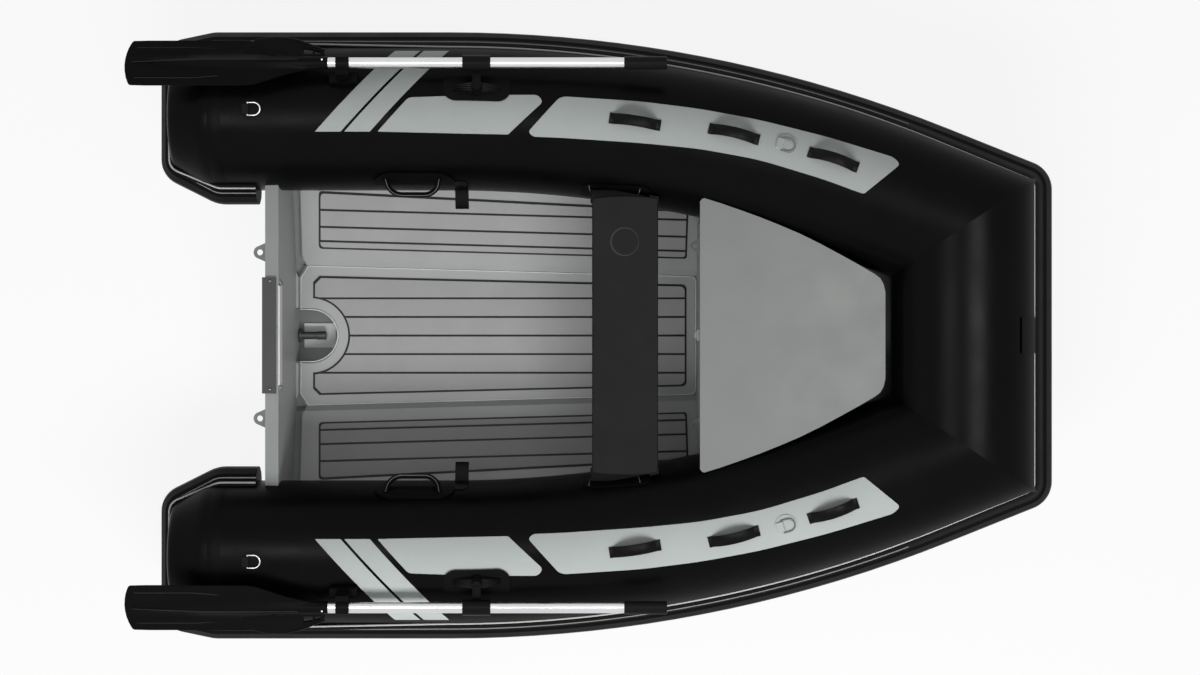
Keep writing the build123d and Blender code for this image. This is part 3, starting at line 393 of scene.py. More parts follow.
def joined(name: str, parts: Sequence[bpy.types.Object]) -> bpy.types.Object:
    """Join meshes to one piece.

    Args:
        name: Name of the whole.
        parts: Meshes to join.

    Returns:
        The joined object.
    """
    work = bmesh.new()
    for part in parts:
        work.from_mesh(part.data)
        bpy.data.objects.remove(part)
    whole = from_bmesh(name, work)
    whole.data.shade_smooth()
    whole.data.set_sharp_from_angle(angle=math.radians(40))
    return whole


def box_mesh(name: str, low: Point, high: Point, round_to: float = 0.0,
             place: Optional[Matrix] = None) -> bpy.types.Object:
    """Make a box with rounded edges.

    Args:
        name: Object name.
        low: Lowest corner.
        high: Highest corner.
        round_to: Edge radius.
        place: Matrix that puts the box in the boat.

    Returns:
        The box.
    """
    verts = [(x, y, z) for x in (low[0], high[0]) for y in (low[1], high[1]) for z in (low[2], high[2])]
    faces = [(0, 1, 3, 2), (4, 6, 7, 5), (0, 4, 5, 1), (2, 3, 7, 6), (0, 2, 6, 4), (1, 5, 7, 3)]
    made = new_mesh(name, verts, faces)
    if round_to:
        made = bevelled(made, round_to)
    if place:
        made.data.transform(place)
    return made


def lathe(name: str, profile: Plan, place: Matrix, steps: int = 48) -> bpy.types.Object:
    """Turn a profile about the local z axis.

    Args:
        name: Object name.
        profile: Pairs of radius and height.
        place: Matrix that puts the turned piece in the boat.
        steps: Segments round.

    Returns:
        The turned piece.
    """
    rings = [[place @ Vector((x, y, height)) for x, y in circle(0.0, 0.0, radius, steps)]
             for radius, height in profile]
    return rings_mesh(name, rings)


def arc(x: float, y: float, radius: float, first: float, last: float, steps: int) -> Plan:
    """Return the points of an arc in plan.

    Args:
        x: The centre, forward.
        y: The centre, to port.
        radius: Radius.
        first: Angle of the first point in degrees, from forward to port.
        last: Angle of the last point.
        steps: Chords on the arc.

    Returns:
        One point more than there are chords.
    """
    turns = [math.radians(first + (last - first) * i / steps) for i in range(steps + 1)]
    return [(x + radius * math.cos(turn), y + radius * math.sin(turn)) for turn in turns]


def circle(x: float, y: float, radius: float, steps: int) -> Plan:
    """Return the points of a circle in plan, from forward to port."""
    return arc(x, y, radius, 0.0, 360.0, steps)[:-1]


def softened(before: Vector, here: Vector, after: Vector, radius: float, steps: int) -> list[Vector]:
    """Round one corner, in plan or in space.

    Args:
        before: The point before the corner.
        here: The corner.
        after: The point after it.
        radius: Distance from the corner at which the round starts.
        steps: Chords on the round.

    Returns:
        The round's points, or the corner alone where there is no room.
    """
    into, out = before - here, after - here
    cut = min(radius, into.length * 0.49, out.length * 0.49)
    if cut < 1e-5:
        return [here]
    first = here + into.normalized() * cut
    last = here + out.normalized() * cut
    return [first * (1 - t) ** 2 + here * 2 * t * (1 - t) + last * t ** 2
            for t in (i / steps for i in range(steps + 1))]


def rounded_path(points: Sequence[Vector], radius: float, steps: int = 6) -> list[Vector]:
    """Round the corners of a run of points.

    Args:
        points: Corner points.
        radius: Distance from each corner at which the round starts.
        steps: Points on each round.

    Returns:
        The denser run.
    """
    path = [points[0]]
    for before, here, after in zip(points, points[1:], points[2:]):
        path += softened(before, here, after, radius, steps)
    return path + [points[-1]]


def rod(name: str, points: Sequence[Vector], radius: float, cyclic: bool = False,
        resolution: int = 5) -> bpy.types.Object:
    """Make a round rod along points.

    Args:
        name: Object name.
        points: Centre line.
        radius: Rod radius.
        cyclic: Whether it closes on itself.
        resolution: Roundness of the section.

    Returns:
        A closed tube mesh.
    """
    curve = bpy.data.curves.new(name, "CURVE")
    curve.dimensions = "3D"
    curve.bevel_depth = radius
    curve.bevel_resolution = resolution
    curve.use_fill_caps = True
    spline = curve.splines.new("POLY")
    spline.points.add(len(points) - 1)
    for slot, point in zip(spline.points, points):
        slot.co = (*point, 1.0)
    spline.use_cyclic_u = cyclic
    made = bake(linked(name, curve))
    finish_mesh(made, 50.0)
    return made


def rounded_outline(points: Plan, radii: Sequence[float] | float, steps: int = 6) -> Plan:
    """Round a closed plan outline.

    Args:
        points: Corners in order.
        radii: One radius for each corner, or one for all.
        steps: Points on each corner.

    Returns:
        The denser outline.
    """
    spots = [Vector(point) for point in points]
    each = [radii] * len(spots) if isinstance(radii, (int, float)) else radii
    outline: Plan = []
    for i, here in enumerate(spots):
        run = softened(spots[i - 1], here, spots[(i + 1) % len(spots)], each[i], steps)
        outline += [(p.x, p.y) for p in run]
    return outline


def filled(outlines: Sequence[Plan], z: float = 0.0) -> bmesh.types.BMesh:
    """Fill an outline in plan.

    Args:
        outlines: The outline, and then those of its holes.
        z: Height.

    Returns:
        Flat geometry that is still to be edited.
    """
    work = bmesh.new()
    edges = []
    for loop in outlines:
        verts = [work.verts.new((x, y, z)) for x, y in loop]
        edges += [work.edges.new((here, verts[(i + 1) % len(verts)])) for i, here in enumerate(verts)]
    bmesh.ops.triangle_fill(work, edges=edges, use_beauty=True)
    return work


def plate(name: str, outline: Plan, z_low: float, z_high: float, round_to: float = 0.0,
          holes: Sequence[Plan] = ()) -> bpy.types.Object:
    """Make a flat plate from a plan outline.

    Args:
        name: Object name.
        outline: Closed outline.
        z_low: Underside height.
        z_high: Top height.
        round_to: Edge radius.
        holes: Outlines cut out of it.

    Returns:
        The plate.
    """
    work = filled([outline, *holes], z_low)
    bmesh.ops.dissolve_limit(work, angle_limit=0.01, verts=work.verts, edges=work.edges)
    thicken(work, (0, 0, z_high - z_low))
    made = from_bmesh(name, work)
    finish_mesh(made, 12.0)
    return bevelled(made, round_to) if round_to else made


def thicken(work: bmesh.types.BMesh, way: Point) -> None:
    """Draw all faces out into a solid.

    Args:
        work: Geometry that is changed.
        way: How far and which way.
    """
    shell = bmesh.ops.extrude_face_region(work, geom=work.faces[:])
    moved = [g for g in shell["geom"] if isinstance(g, bmesh.types.BMVert)]
    bmesh.ops.translate(work, verts=moved, vec=way)


def strap_section(wide: float, shoulder: float) -> list[tuple[float, float]]:
    """Return a strap's section: distance across, and height as a share of its thickness."""
    half, nick = wide / 2, 0.0012
    return [(-half, 0), (half, 0), (half, shoulder), (half - nick, 1), (-half + nick, 1), (-half, shoulder)]


def ribbon(name: str, run: Sequence[Vector], across: Vector, wide: float, thick: float) -> bpy.types.Object:
    """Make a strap of constant width along a run of points.

    Args:
        name: Object name.
        run: The strap's underside centre line.
        across: Direction of its width.
        wide: Width.
        thick: Thickness, on the left of the run.

    Returns:
        The strap.
    """
    rings = []
    section = strap_section(wide, 0.6)
    for i, point in enumerate(run):
        way = (run[min(i + 1, len(run) - 1)] - run[max(i - 1, 0)]).normalized()
        normal = across.cross(way).normalized()
        rings.append([point + across * w + normal * (t * thick) for w, t in section])
    return rings_mesh(name, rings, caps=True, sharp_deg=50)


def dress(piece: bpy.types.Object, finish: Finish, body: str,
          stands_for: Sequence[str] = ()) -> None:
    """Give a piece its finish and body, and hide the CAD nodes that it replaces.

    Args:
        piece: Finished mesh at the origin.
        finish: Its material.
        body: CAD body that it rides on.
        stands_for: CAD nodes that it replaces.
    """
    piece.data.materials.clear()
    piece.data.materials.append(finish.material())
    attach(piece, body)
    if stands_for:
        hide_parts(*stands_for)
    LOG.info("%s: %d faces, %s", piece.name, len(piece.data.polygons), finish.name)


def dress_both(port: bpy.types.Object, finish: Finish, stands_for: Sequence[str] = ()) -> None:
    """Mirror a port piece of the boat to starboard, and dress both.

    Args:
        port: Finished mesh at the origin.
        finish: Their material.
        stands_for: CAD nodes that they replace, named as on the port side.
    """
    name = port.name.replace("_port", "_starboard") if "_port" in port.name else f"{port.name}_starboard"
    other = mirrored(port, name)
    dress(port, finish, "boat", stands_for)
    dress(other, finish, "boat", [node.replace("_port", "_starboard") for node in stands_for])


# ------------------------------------------------------------------ repeated small parts
@dataclass
class Row:
    """A Geometry Nodes row of small parts set along a line."""

    name: str
    count: int
    size: Point
    round_part: bool = False
    finish: Finish = STITCH_THREAD

    def tree(self) -> bpy.types.NodeTree:
        """Build the tree: points along the line, one part on each, made real.

        Returns:
            The tree for the row's modifier.
        """
        tree = bpy.data.node_groups.new(self.name + "_row", "GeometryNodeTree")
        face = tree.interface
        face.new_socket("Geometry", in_out="INPUT", socket_type="NodeSocketGeometry")
        face.new_socket("Count", in_out="INPUT", socket_type="NodeSocketInt")
        face.new_socket("Part size", in_out="INPUT", socket_type="NodeSocketVector")
        face.new_socket("Geometry", in_out="OUTPUT", socket_type="NodeSocketGeometry")
        given = add_node(tree, "NodeGroupInput")
        line = add_node(tree, "GeometryNodeMeshToCurve", {"Mesh": given.outputs["Geometry"]})
        points = add_node(tree, "GeometryNodeCurveToPoints", {
            "Curve": line.outputs["Curve"], "Count": given.outputs["Count"]}, mode="COUNT")
        if self.round_part:
            part = add_node(tree, "GeometryNodeMeshUVSphere", {"Segments": 12, "Rings": 6, "Radius": 0.5})
        else:
            part = add_node(tree, "GeometryNodeMeshCube", {"Vertices X": 3, "Vertices Y": 2, "Vertices Z": 2})
        placed = add_node(tree, "GeometryNodeInstanceOnPoints", {
            "Points": points.outputs["Points"], "Instance": part.outputs["Mesh"],
            "Rotation": points.outputs["Rotation"], "Scale": given.outputs["Part size"]})
        real = add_node(tree, "GeometryNodeRealizeInstances", {"Geometry": placed.outputs["Instances"]})
        painted = add_node(tree, "GeometryNodeSetMaterial", {
            "Geometry": real.outputs["Geometry"], "Material": self.finish.material()})
        add_node(tree, "NodeGroupOutput", {"Geometry": painted.outputs["Geometry"]})
        return tree

    def along(self, points: Sequence[Vector]) -> bpy.types.Object:
        """Set the parts along a run of points.

        Args:
            points: The line, in metres.

        Returns:
            A plain mesh of all the parts.
        """
        mesh = bpy.data.meshes.new(self.name)
        mesh.from_pydata([tuple(p) for p in points], [(i, i + 1) for i in range(len(points) - 1)], [])
        holder = linked(self.name, mesh)
        mod = holder.modifiers.new("row", "NODES")
        tree = self.tree()
        mod.node_group = tree
        keys = {item.name: item.identifier for item in tree.interface.items_tree if item.in_out == "INPUT"}
        mod[keys["Count"]] = self.count
        mod[keys["Part size"]] = self.size
        return bake(holder)


# ------------------------------------------------------------------ the tube's line
RING = 128  # points round a chamber


@dataclass(frozen=True)
class Station:
    """A place along the port chamber: its centre and the three directions there."""

    centre: Vector
    heading: Vector
    out: Vector
    up: Vector

    def ring_point(self, angle: float, radius: float) -> Vector:
        """Return a point round the station; the angle runs from outboard upwards."""
        return self.centre + (self.out * math.cos(angle) + self.up * math.sin(angle)) * radius

    def ring(self, radius: float) -> list[Vector]:
        """Return all points round the station at a radius."""
        return [self.ring_point(math.tau * j / RING, radius) for j in range(RING)]


@dataclass(frozen=True)
class TubeLine:
    """The port chamber's centre line: straight, bent in a tilted plane, straight to the bow mitre."""

    radius: float = 0.205
    y: float = 0.613
    z: float = 0.260
    cone_x: float = -1.112
    bend_x: float = -0.440
    bend_deg: float = 23.3
    tilt_deg: float = 16.0
    bow_x: float = 0.995
    corner_y: float = 0.299

    @property
    def tilt(self) -> float:
        """Tilt of the bend's plane in radians."""
        return math.radians(self.tilt_deg)

    @property
    def bend(self) -> float:
        """Angle of the bend in radians."""
        return math.radians(self.bend_deg)

    @property
    def run_in(self) -> float:
        """Distance the line comes inboard, in the tilted plane."""
        return (self.y - self.corner_y) / math.cos(self.tilt)

    @property
    def bend_r(self) -> float:
        """Work out the bend from the straight runs before and after it.

        Returns:
            Its radius.
        """
        run = self.bow_x - self.bend_x
        below = math.sin(self.bend) ** 2 - (1 - math.cos(self.bend)) * math.cos(self.bend)
        return (run * math.sin(self.bend) - self.run_in * math.cos(self.bend)) / below

    @property
    def corner(self) -> Vector:
        """Where the side and bow centre lines meet."""
        return Vector((self.bow_x, self.corner_y, self.z + self.run_in * math.sin(self.tilt)))

    @property
    def mitre(self) -> Vector:
        """Normal of the plane where the side and bow chambers meet."""
        return (self.at(self.bend_end).heading + Vector((0, -1, 0))).normalized()

    @property
    def bend_start(self) -> float:
        """Distance along the line at which the bend starts."""
        return self.bend_x - self.cone_x

    @property
    def bend_end(self) -> float:
        """Distance along the line at which the bend ends."""
        return self.bend_start + self.bend_r * self.bend

    def at(self, along: float) -> Station:
        """Return the station at a distance along the line.

        Args:
            along: Metres from the stern cone.

        Returns:
            The station.
        """
        ahead = Vector((1, 0, 0))
        inward = Vector((0, -math.cos(self.tilt), math.sin(self.tilt)))
        start = Vector((self.bend_x, self.y, self.z))
        if along <= self.bend_start:
            centre = Vector((self.cone_x + along, self.y, self.z))
            return Station(centre, ahead, Vector((0, 1, 0)), Vector((0, 0, 1)))
        turn = min((along - self.bend_start) / self.bend_r, self.bend)
        centre = start + (ahead * math.sin(turn) + inward * (1 - math.cos(turn))) * self.bend_r
        heading = ahead * math.cos(turn) + inward * math.sin(turn)
        spin = Matrix.Rotation(turn, 3, ahead.cross(inward))
        out = spin @ Vector((0, 1, 0))
        up = spin @ Vector((0, 0, 1))
        if along > self.bend_end:
            centre = centre + heading * (along - self.bend_end)
        return Station(centre, heading, out, up)

    def nearest(self, point: Vector) -> float:
        """Find the place on the line nearest to a point.

        Args:
            point: A point near the chamber.

        Returns:
            Metres along the line from the stern cone.
        """
        along = max(0.0, point.x - self.cone_x)
        for _ in range(12):
            here = self.at(along)
            along += (point - here.centre).dot(here.heading)
        return along

    def drop(self, x: float, y: float, lift: float = 0.0) -> Vector:
        """Put a plan position on the chamber's upper skin.

        Args:
            x: Metres forward.
            y: Metres to port.
            lift: Height off the skin.

        Returns:
            The point on, or off, the skin.
        """
        z = self.z + self.radius
        for _ in range(8):
            here = self.at(self.nearest(Vector((x, y, z))))
            across = Vector((x, y)) - Vector((here.centre.x, here.centre.y))
            rise = math.sqrt(max((self.radius + lift) ** 2 - across.length_squared, 1e-8))
            z = here.centre.z + rise
        return Vector((x, y, z))

    def wrap(self, x: float, round_by: float, lift: float = 0.0) -> Vector:
        """Put a position on the chamber by its arc from the top line.

        Args:
            x: Metres forward.
            round_by: Metres round the skin from the top line, inboard.
            lift: Height off the skin.

        Returns:
            The point on, or off, the skin.
        """
        along = x - self.cone_x
        for _ in range(6):
            here = self.at(along)
            along += (x - here.centre.x) / here.heading.x
        here = self.at(along)
        return here.ring_point(math.pi / 2 + round_by / self.radius, self.radius + lift)

    def frame_at(self, x: float, y: float) -> Matrix:
        """Find the axes of a place on the chamber's upper skin.

        Args:
            x: Metres forward.
            y: Metres to port.

        Returns:
            A matrix there: x along the tube, y across it, z off the skin.
        """
        skin = self.drop(x, y)
        here = self.at(self.nearest(skin))
        normal = (skin - here.centre).normalized()
        ahead = (here.heading - normal * here.heading.dot(normal)).normalized()
        side = normal.cross(ahead)
        rows = Matrix((ahead, side, normal)).transposed().to_4x4()
        rows.translation = skin
        return rows


LINE = TubeLine()


@dataclass
class Chambers:
    """The three air chambers, and the seam tape round each stern cone."""

    line: TubeLine = LINE
    tape_x: float = -1.091
    tape_wide: float = 0.034
    tape_thick: float = 0.0004
    # x, radius of the closed stern end
    end_profile: list[tuple[float, float]] = field(default_factory=lambda: [
        (-1.2175, 0.0005), (-1.2174, 0.02), (-1.2170, 0.05), (-1.2164, 0.08), (-1.2152, 0.11),
        (-1.2134, 0.133), (-1.2105, 0.147), (-1.206, 0.1555), (-1.199, 0.1609), (-1.180, 0.1705),
        (-1.150, 0.1857), (-1.128, 0.1968), (-1.119, 0.2008), (-1.110, 0.2033), (-1.098, 0.2046),
        (-1.085, 0.205)])

    def side_rings(self) -> list[list[Vector]]:
        """Draw the port chamber between its stern cone and the bow.

        Returns:
            Its rings, the last one on the mitre.
        """
        start, total, count, to_bow = 0.03, self.line.bend_end, 72, 8
        rings = [self.line.at(start + (total - start) * i / count).ring(self.line.radius)
                 for i in range(1, count + 1)]
        last = rings[-1]
        heading = self.line.at(total).heading
        cut = [self.to_mitre(p, heading) for p in last]
        for i in range(1, to_bow + 1):
            rings.append([p.lerp(q, i / to_bow) for p, q in zip(last, cut)])
        return rings

    def to_mitre(self, point: Vector, heading: Vector) -> Vector:
        """Slide a point along a direction to the bow mitre plane."""
        gap = (self.line.corner - point).dot(self.line.mitre)
        return point + heading * (gap / heading.dot(self.line.mitre))

    def stern_rings(self, profile: Plan) -> list[list[Vector]]:
        """Return rings round the chamber's straight stern run, for pairs of x and radius."""
        return [self.line.at(x - self.line.cone_x).ring(radius) for x, radius in profile]

    def bow_edge(self) -> list[Vector]:
        """Draw the bow chamber's port end.

        Returns:
            Its ring on the mitre, from forward upwards.
        """
        across = Vector((0, -1, 0))
        upright = Station(self.line.corner, across, Vector((1, 0, 0)), Vector((0, 0, 1)))
        return [self.to_mitre(p, across) for p in upright.ring(self.line.radius)]

    def build(self) -> None:
        """Make the chambers and tapes and dress them."""
        rings = self.stern_rings(self.end_profile) + self.side_rings()
        dress_both(rings_mesh("chamber_port", rings, caps=True, sharp_deg=60),
                   CHAMBER_CLOTH, ["tube_port"])
        edge = self.bow_edge()
        steps = 40
        shares = [1 - 2 * i / steps for i in range(steps + 1)]
        bow = rings_mesh("chamber_bow", [[Vector((p.x, p.y * share, p.z)) for p in edge] for share in shares],
                         caps=True, sharp_deg=60)
        dress(bow, CHAMBER_CLOTH, "boat", ["tube_bow"])
        self.build_tapes()

    def build_tapes(self) -> None:
        """Lay a thin seam tape round each stern cone, its edges run out to the cloth."""
        aft, fore, run_out = self.tape_x, self.tape_x + self.tape_wide, 0.001
        low, high = self.line.radius, self.line.radius + self.tape_thick
        rings = self.stern_rings([(aft - run_out, low), (aft, high), (fore, high), (fore + run_out, low)])
        dress_both(rings_mesh("seam_tapes_port", rings, sharp_deg=60), TAPE_CLOTH)


@dataclass
class Drape:
    """A thin sheet of cloth glued on the port chamber's upper skin."""

    name: str
    outline: Plan
    low: float
    high: float
    cell: float = 0.018
    spot: Callable[[float, float, float], Vector] = LINE.drop

    def build(self) -> bpy.types.Object:
        """Cut the outline into small cells and lay them on the skin.

        Returns:
            A closed thin mesh.
        """
        work = bmesh.new()
        verts = [work.verts.new((x, y, 0)) for x, y in self.outline]
        work.faces.new(verts)
        xs = [x for x, _ in self.outline]
        ys = [y for _, y in self.outline]
        for way, low, high in ((Vector((1, 0, 0)), min(xs), max(xs)), (Vector((0, 1, 0)), min(ys), max(ys))):
            at = low + self.cell
            while at < high:
                geom = work.verts[:] + work.edges[:] + work.faces[:]
                bmesh.ops.bisect_plane(work, geom=geom, plane_co=way * at, plane_no=way)
                at += self.cell
        bmesh.ops.remove_doubles(work, verts=work.verts, dist=1e-5)
        plan = [(v, v.co.x, v.co.y) for v in work.verts]
        top = bmesh.ops.duplicate(work, geom=work.verts[:] + work.edges[:] + work.faces[:])
        pairs = top["vert_map"]
        rim = [e for e in work.edges if e.is_boundary]
        for vert, x, y in plan:
            vert.co = self.spot(x, y, self.low)
            pairs[vert].co = self.spot(x, y, self.high)
        seen = {v for v, _, _ in plan}
        for edge in rim:
            a, b = edge.verts
            if a in seen and b in seen:
                work.faces.new((a, b, pairs[b], pairs[a]))
        made = from_bmesh(self.name, work)
        finish_mesh(made, 40.0)
        return made


@dataclass
class StepPatches:
    """Grey non-slip patches and plain raked bands on the side chambers."""

    low: float = SKIN_GAP
    high: float = 0.0016
    aft: Plan = field(default_factory=lambda: rounded_outline([
        (-0.626, 0.557), (-0.269, 0.549), (-0.173, 0.638), (-0.187, 0.657), (-0.350, 0.657), (-0.541, 0.650)],
        [0.004, 0.004, 0.012, 0.012, 0.05, 0.010]))
    fore: Plan = field(default_factory=lambda: rounded_outline([
        (-0.214, 0.556), (-0.201, 0.543), (-0.127, 0.540), (0.091, 0.525), (0.255, 0.508), (0.417, 0.477),
        (0.590, 0.423), (0.674, 0.391), (0.697, 0.383), (0.797, 0.464), (0.778, 0.484), (0.600, 0.540),
        (0.418, 0.587), (0.255, 0.618), (0.091, 0.639), (-0.114, 0.6525), (-0.130, 0.648)],
        [0.012, 0.012, 0.02, 0.05, 0.05, 0.05, 0.05, 0.02, 0.006, 0.012, 0.012, 0.05, 0.05, 0.05, 0.05,
         0.01, 0.01]))
    bands: list[Plan] = field(default_factory=lambda: [
        [(-0.797, 0.557), (-0.727, 0.557), (-0.515, 0.788), (-0.585, 0.788)],
        [(-0.717, 0.557), (-0.647, 0.557), (-0.435, 0.788), (-0.505, 0.788)]])

    def build(self) -> None:
        """Lay patches and bands on both sides."""
        patches = joined("step_patch_port", [
            Drape("patch_aft", self.aft, self.low, self.high).build(),
            Drape("patch_fore", self.fore, self.low, self.high).build()])
        dress_both(patches, PATCH_CLOTH, ["step_patches"])
        bands = joined("raked_bands_port", [
            Drape(f"band_{i}", rounded_outline(plan, 0.003), self.low, self.high).build()
            for i, plan in enumerate(self.bands)])
        dress_both(bands, PATCH_CLOTH, ["side_bands"])


@dataclass
class GrabStraps:
    """Arched webbing straps sewn down on the fore patches."""

    middles: Plan = field(default_factory=lambda: [(0.078, 0.582), (0.347, 0.547), (0.615, 0.476)])
    chord: float = 0.122
    rise: float = 0.027
    wide: float = 0.030
    thick: float = 0.0028
    foot: float = 0.010
    heel: float = 0.004
    seat: float = 0.0020
    stitch: Point = (0.0012, 0.001, 0.0020)

    def centre_line(self) -> list[tuple[float, float]]:
        """Draw the strap's run.

        Returns:
            Pairs of distance along and height off the skin.
        """
        half = self.chord / 2
        radius = (half ** 2 + self.rise ** 2) / (2 * self.rise)
        run = [(-half - self.foot, self.seat), (-half - self.heel, self.seat)]
        steps = 24
        for i in range(steps + 1):
            x = -half + self.chord * i / steps
            z = math.sqrt(max(radius ** 2 - x ** 2, 0)) - radius + self.rise
            run.append((x, self.seat + max(z - self.thick, 0.0)))
        return run + [(half + self.heel, self.seat), (half + self.foot, self.seat)]

    @staticmethod
    def sag(across: float) -> float:
        """Return how far the round chamber falls away at a distance from its top line."""
        return across * across / (2 * LINE.radius)

    def one(self, index: int, place: Matrix) -> list[bpy.types.Object]:
        """Build one strap with its stitches.

        Args:
            index: Which strap.
            place: Matrix on the skin at the strap's middle.

        Returns:
            The strap and its stitches.
        """
        rings = []
        run = self.centre_line()
        for i, (x, z) in enumerate(run):
            px, pz = run[max(i - 1, 0)]
            nx, nz = run[min(i + 1, len(run) - 1)]
            slope = Vector((nx - px, 0, nz - pz)).normalized()
            normal = Vector((-slope.z, 0, slope.x))
            rings.append([place @ (Vector((x, w, z - self.sag(w))) + normal * (t * self.thick))
                          for w, t in strap_section(self.wide, 0.7)])
        parts = [rings_mesh(f"strap_{index}", rings, caps=True, sharp_deg=50)]
        for way in (-1, 1):
            mid = way * (self.chord / 2 + self.foot / 2 + 0.001)
            for side in (-1, 1):
                y = side * (self.wide / 2 - 0.004)
                z = self.seat + self.thick - self.sag(y) + 0.0001
                ends = [place @ Vector((mid + off, y, z)) for off in (-0.003, 0.003)]
                parts.append(Row(f"stitch_{index}_{way}_{side}", 3, self.stitch).along(ends))
        return parts

    def build(self) -> None:
        """Make the straps on both sides."""
        parts = []
        for index, (x, y) in enumerate(self.middles):
            parts += self.one(index, LINE.frame_at(x, y))
        dress_both(joined("grab_strap_set_port", parts), STRAP_WEBBING, ["grab_straps_port"])


@dataclass
class DRings:
    """Steel D-rings held by webbing tabs on round rubber pads."""

    # x, y, height of what the pad lies on
    places: list[Point] = field(default_factory=lambda: [(-0.965, 0.618, 0.0), (0.493, 0.515, 0.0016)])
    pad_r: float = 0.030
    ring_r: float = 0.0175
    bar_x: float = -0.0155
    tab_x: float = -0.031
    tab_half: float = 0.0145
    rod_r: float = 0.0022
    lift: float = 0.0052

    def build(self) -> None:
        """Make pads and rings on both sides."""
        for index, (x, y, under) in enumerate(self.places):
            place = LINE.frame_at(x, y)
            middle = place @ Vector((-0.006, 0, 0))
            outline = circle(middle.x, middle.y, self.pad_r, 40)
            pad = Drape(f"d_ring_pad_{index}", outline, under + SKIN_GAP, under + 0.0021, 0.01).build()
            tab_top = self.lift + self.rod_r + 0.0008
            tab = box_mesh(f"d_ring_tab_{index}", (self.tab_x, -self.tab_half, under + 0.0008),
                           (self.bar_x + 0.0040, self.tab_half, tab_top), 0.0012, place)
            bow = arc(0.0015, 0.0, self.ring_r, -90, 90, 24)
            loop = [(self.bar_x, -self.ring_r), *bow, (self.bar_x, self.ring_r)]
            ring = rod(f"d_ring_steel_{index}", [place @ Vector((*p, self.lift)) for p in loop], self.rod_r,
                       cyclic=True)
            dress_both(pad, (MOULDED_RUBBER, PATCH_CLOTH)[index], ["d_ring_pads"])
            dress_both(tab, (STRAP_WEBBING, PATCH_CLOTH)[index])
            dress_both(ring, (STEEL, DULL_STEEL)[index], ["d_rings"])


@dataclass
class GrabHandles:
    """Moulded carrying handles on rounded pads at the chambers' inner flanks."""

    rod_r: float = 0.0075
    # x, arc inboard
    pad: Plan = field(default_factory=lambda: rounded_outline([
        (-0.646, 0.240), (-0.644, 0.212), (-0.612, 0.184), (-0.453, 0.184), (-0.421, 0.212), (-0.419, 0.240)],
        [0.004, 0.014, 0.02, 0.02, 0.014, 0.004]))
    # x, arc inboard, lift
    loop: list[Point] = field(default_factory=lambda: [
        (-0.612, 0.212, 0.003), (-0.606, 0.240, 0.017), (-0.583, 0.2585, 0.0275), (-0.492, 0.2585, 0.0275),
        (-0.469, 0.240, 0.017), (-0.463, 0.212, 0.003)])

    def path(self, inset: float, lift: float) -> list[Vector]:
        """Return the loop's rounded line, drawn in towards the pad and raised."""
        corners = [LINE.wrap(x, round_by - inset, up + lift) for x, round_by, up in self.loop]
        return rounded_path(corners, 0.022, 6)

    def build(self) -> None:
        """Make the handles on both sides."""
        pad = Drape("handle_pad", self.pad, SKIN_GAP, 0.0062, 0.015, LINE.wrap).build()
        bar = rod("handle_bar", self.path(0.0, 0.0), self.rod_r)
        handle = joined("carry_handle_port", [pad, bar])
        dress_both(handle, MOULDED_RUBBER, ["grab_handle_port"])
        # A thin grey rod along the bar's inner edge: a painted highlight
        line = rod("handle_parting_line_port", self.path(0.0052, 0.0048), 0.0011, resolution=3)
        dress_both(line, GREY_HIGHLIGHT_RUBBER)


@dataclass
class LashingTabs:
    """Webbing tabs that lie over the chamber's flank and hang a little way inboard."""

    x: float = -0.405
    wide: float = 0.038
    thick: float = 0.003
    # arcs inboard where the tab lies on the chamber
    lying: tuple[float, ...] = (0.238, 0.250, 0.265, 0.280, 0.292)
    # y, z where it hangs free
    hanging: Plan = field(default_factory=lambda: [
        (0.4050, 0.286), (0.398, 0.2815), (0.388, 0.278), (0.376, 0.2745), (0.364, 0.2685), (0.3555, 0.259)])
    # distance to either side, arc inboard
    head: Plan = field(default_factory=lambda: [
        (-0.026, 0.252), (-0.016, 0.228), (0.016, 0.228), (0.026, 0.252)])

    def build(self) -> None:
        """Make the tabs on both sides."""
        run = [LINE.wrap(self.x, along, 0.0003) for along in self.lying]
        run += [Vector((self.x, y, z)) for y, z in self.hanging]
        tab = ribbon("lashing_tab_port", run, Vector((1, 0, 0)), self.wide, self.thick)
        outline = rounded_outline([(self.x + off, along) for off, along in self.head], 0.008)
        head = Drape("lashing_tab_head", outline, SKIN_GAP, 0.0022, 0.012, LINE.wrap).build()
        dress_both(joined("lashing_tab_whole_port", [tab, head]), STRAP_WEBBING, ["lashing_tabs"])


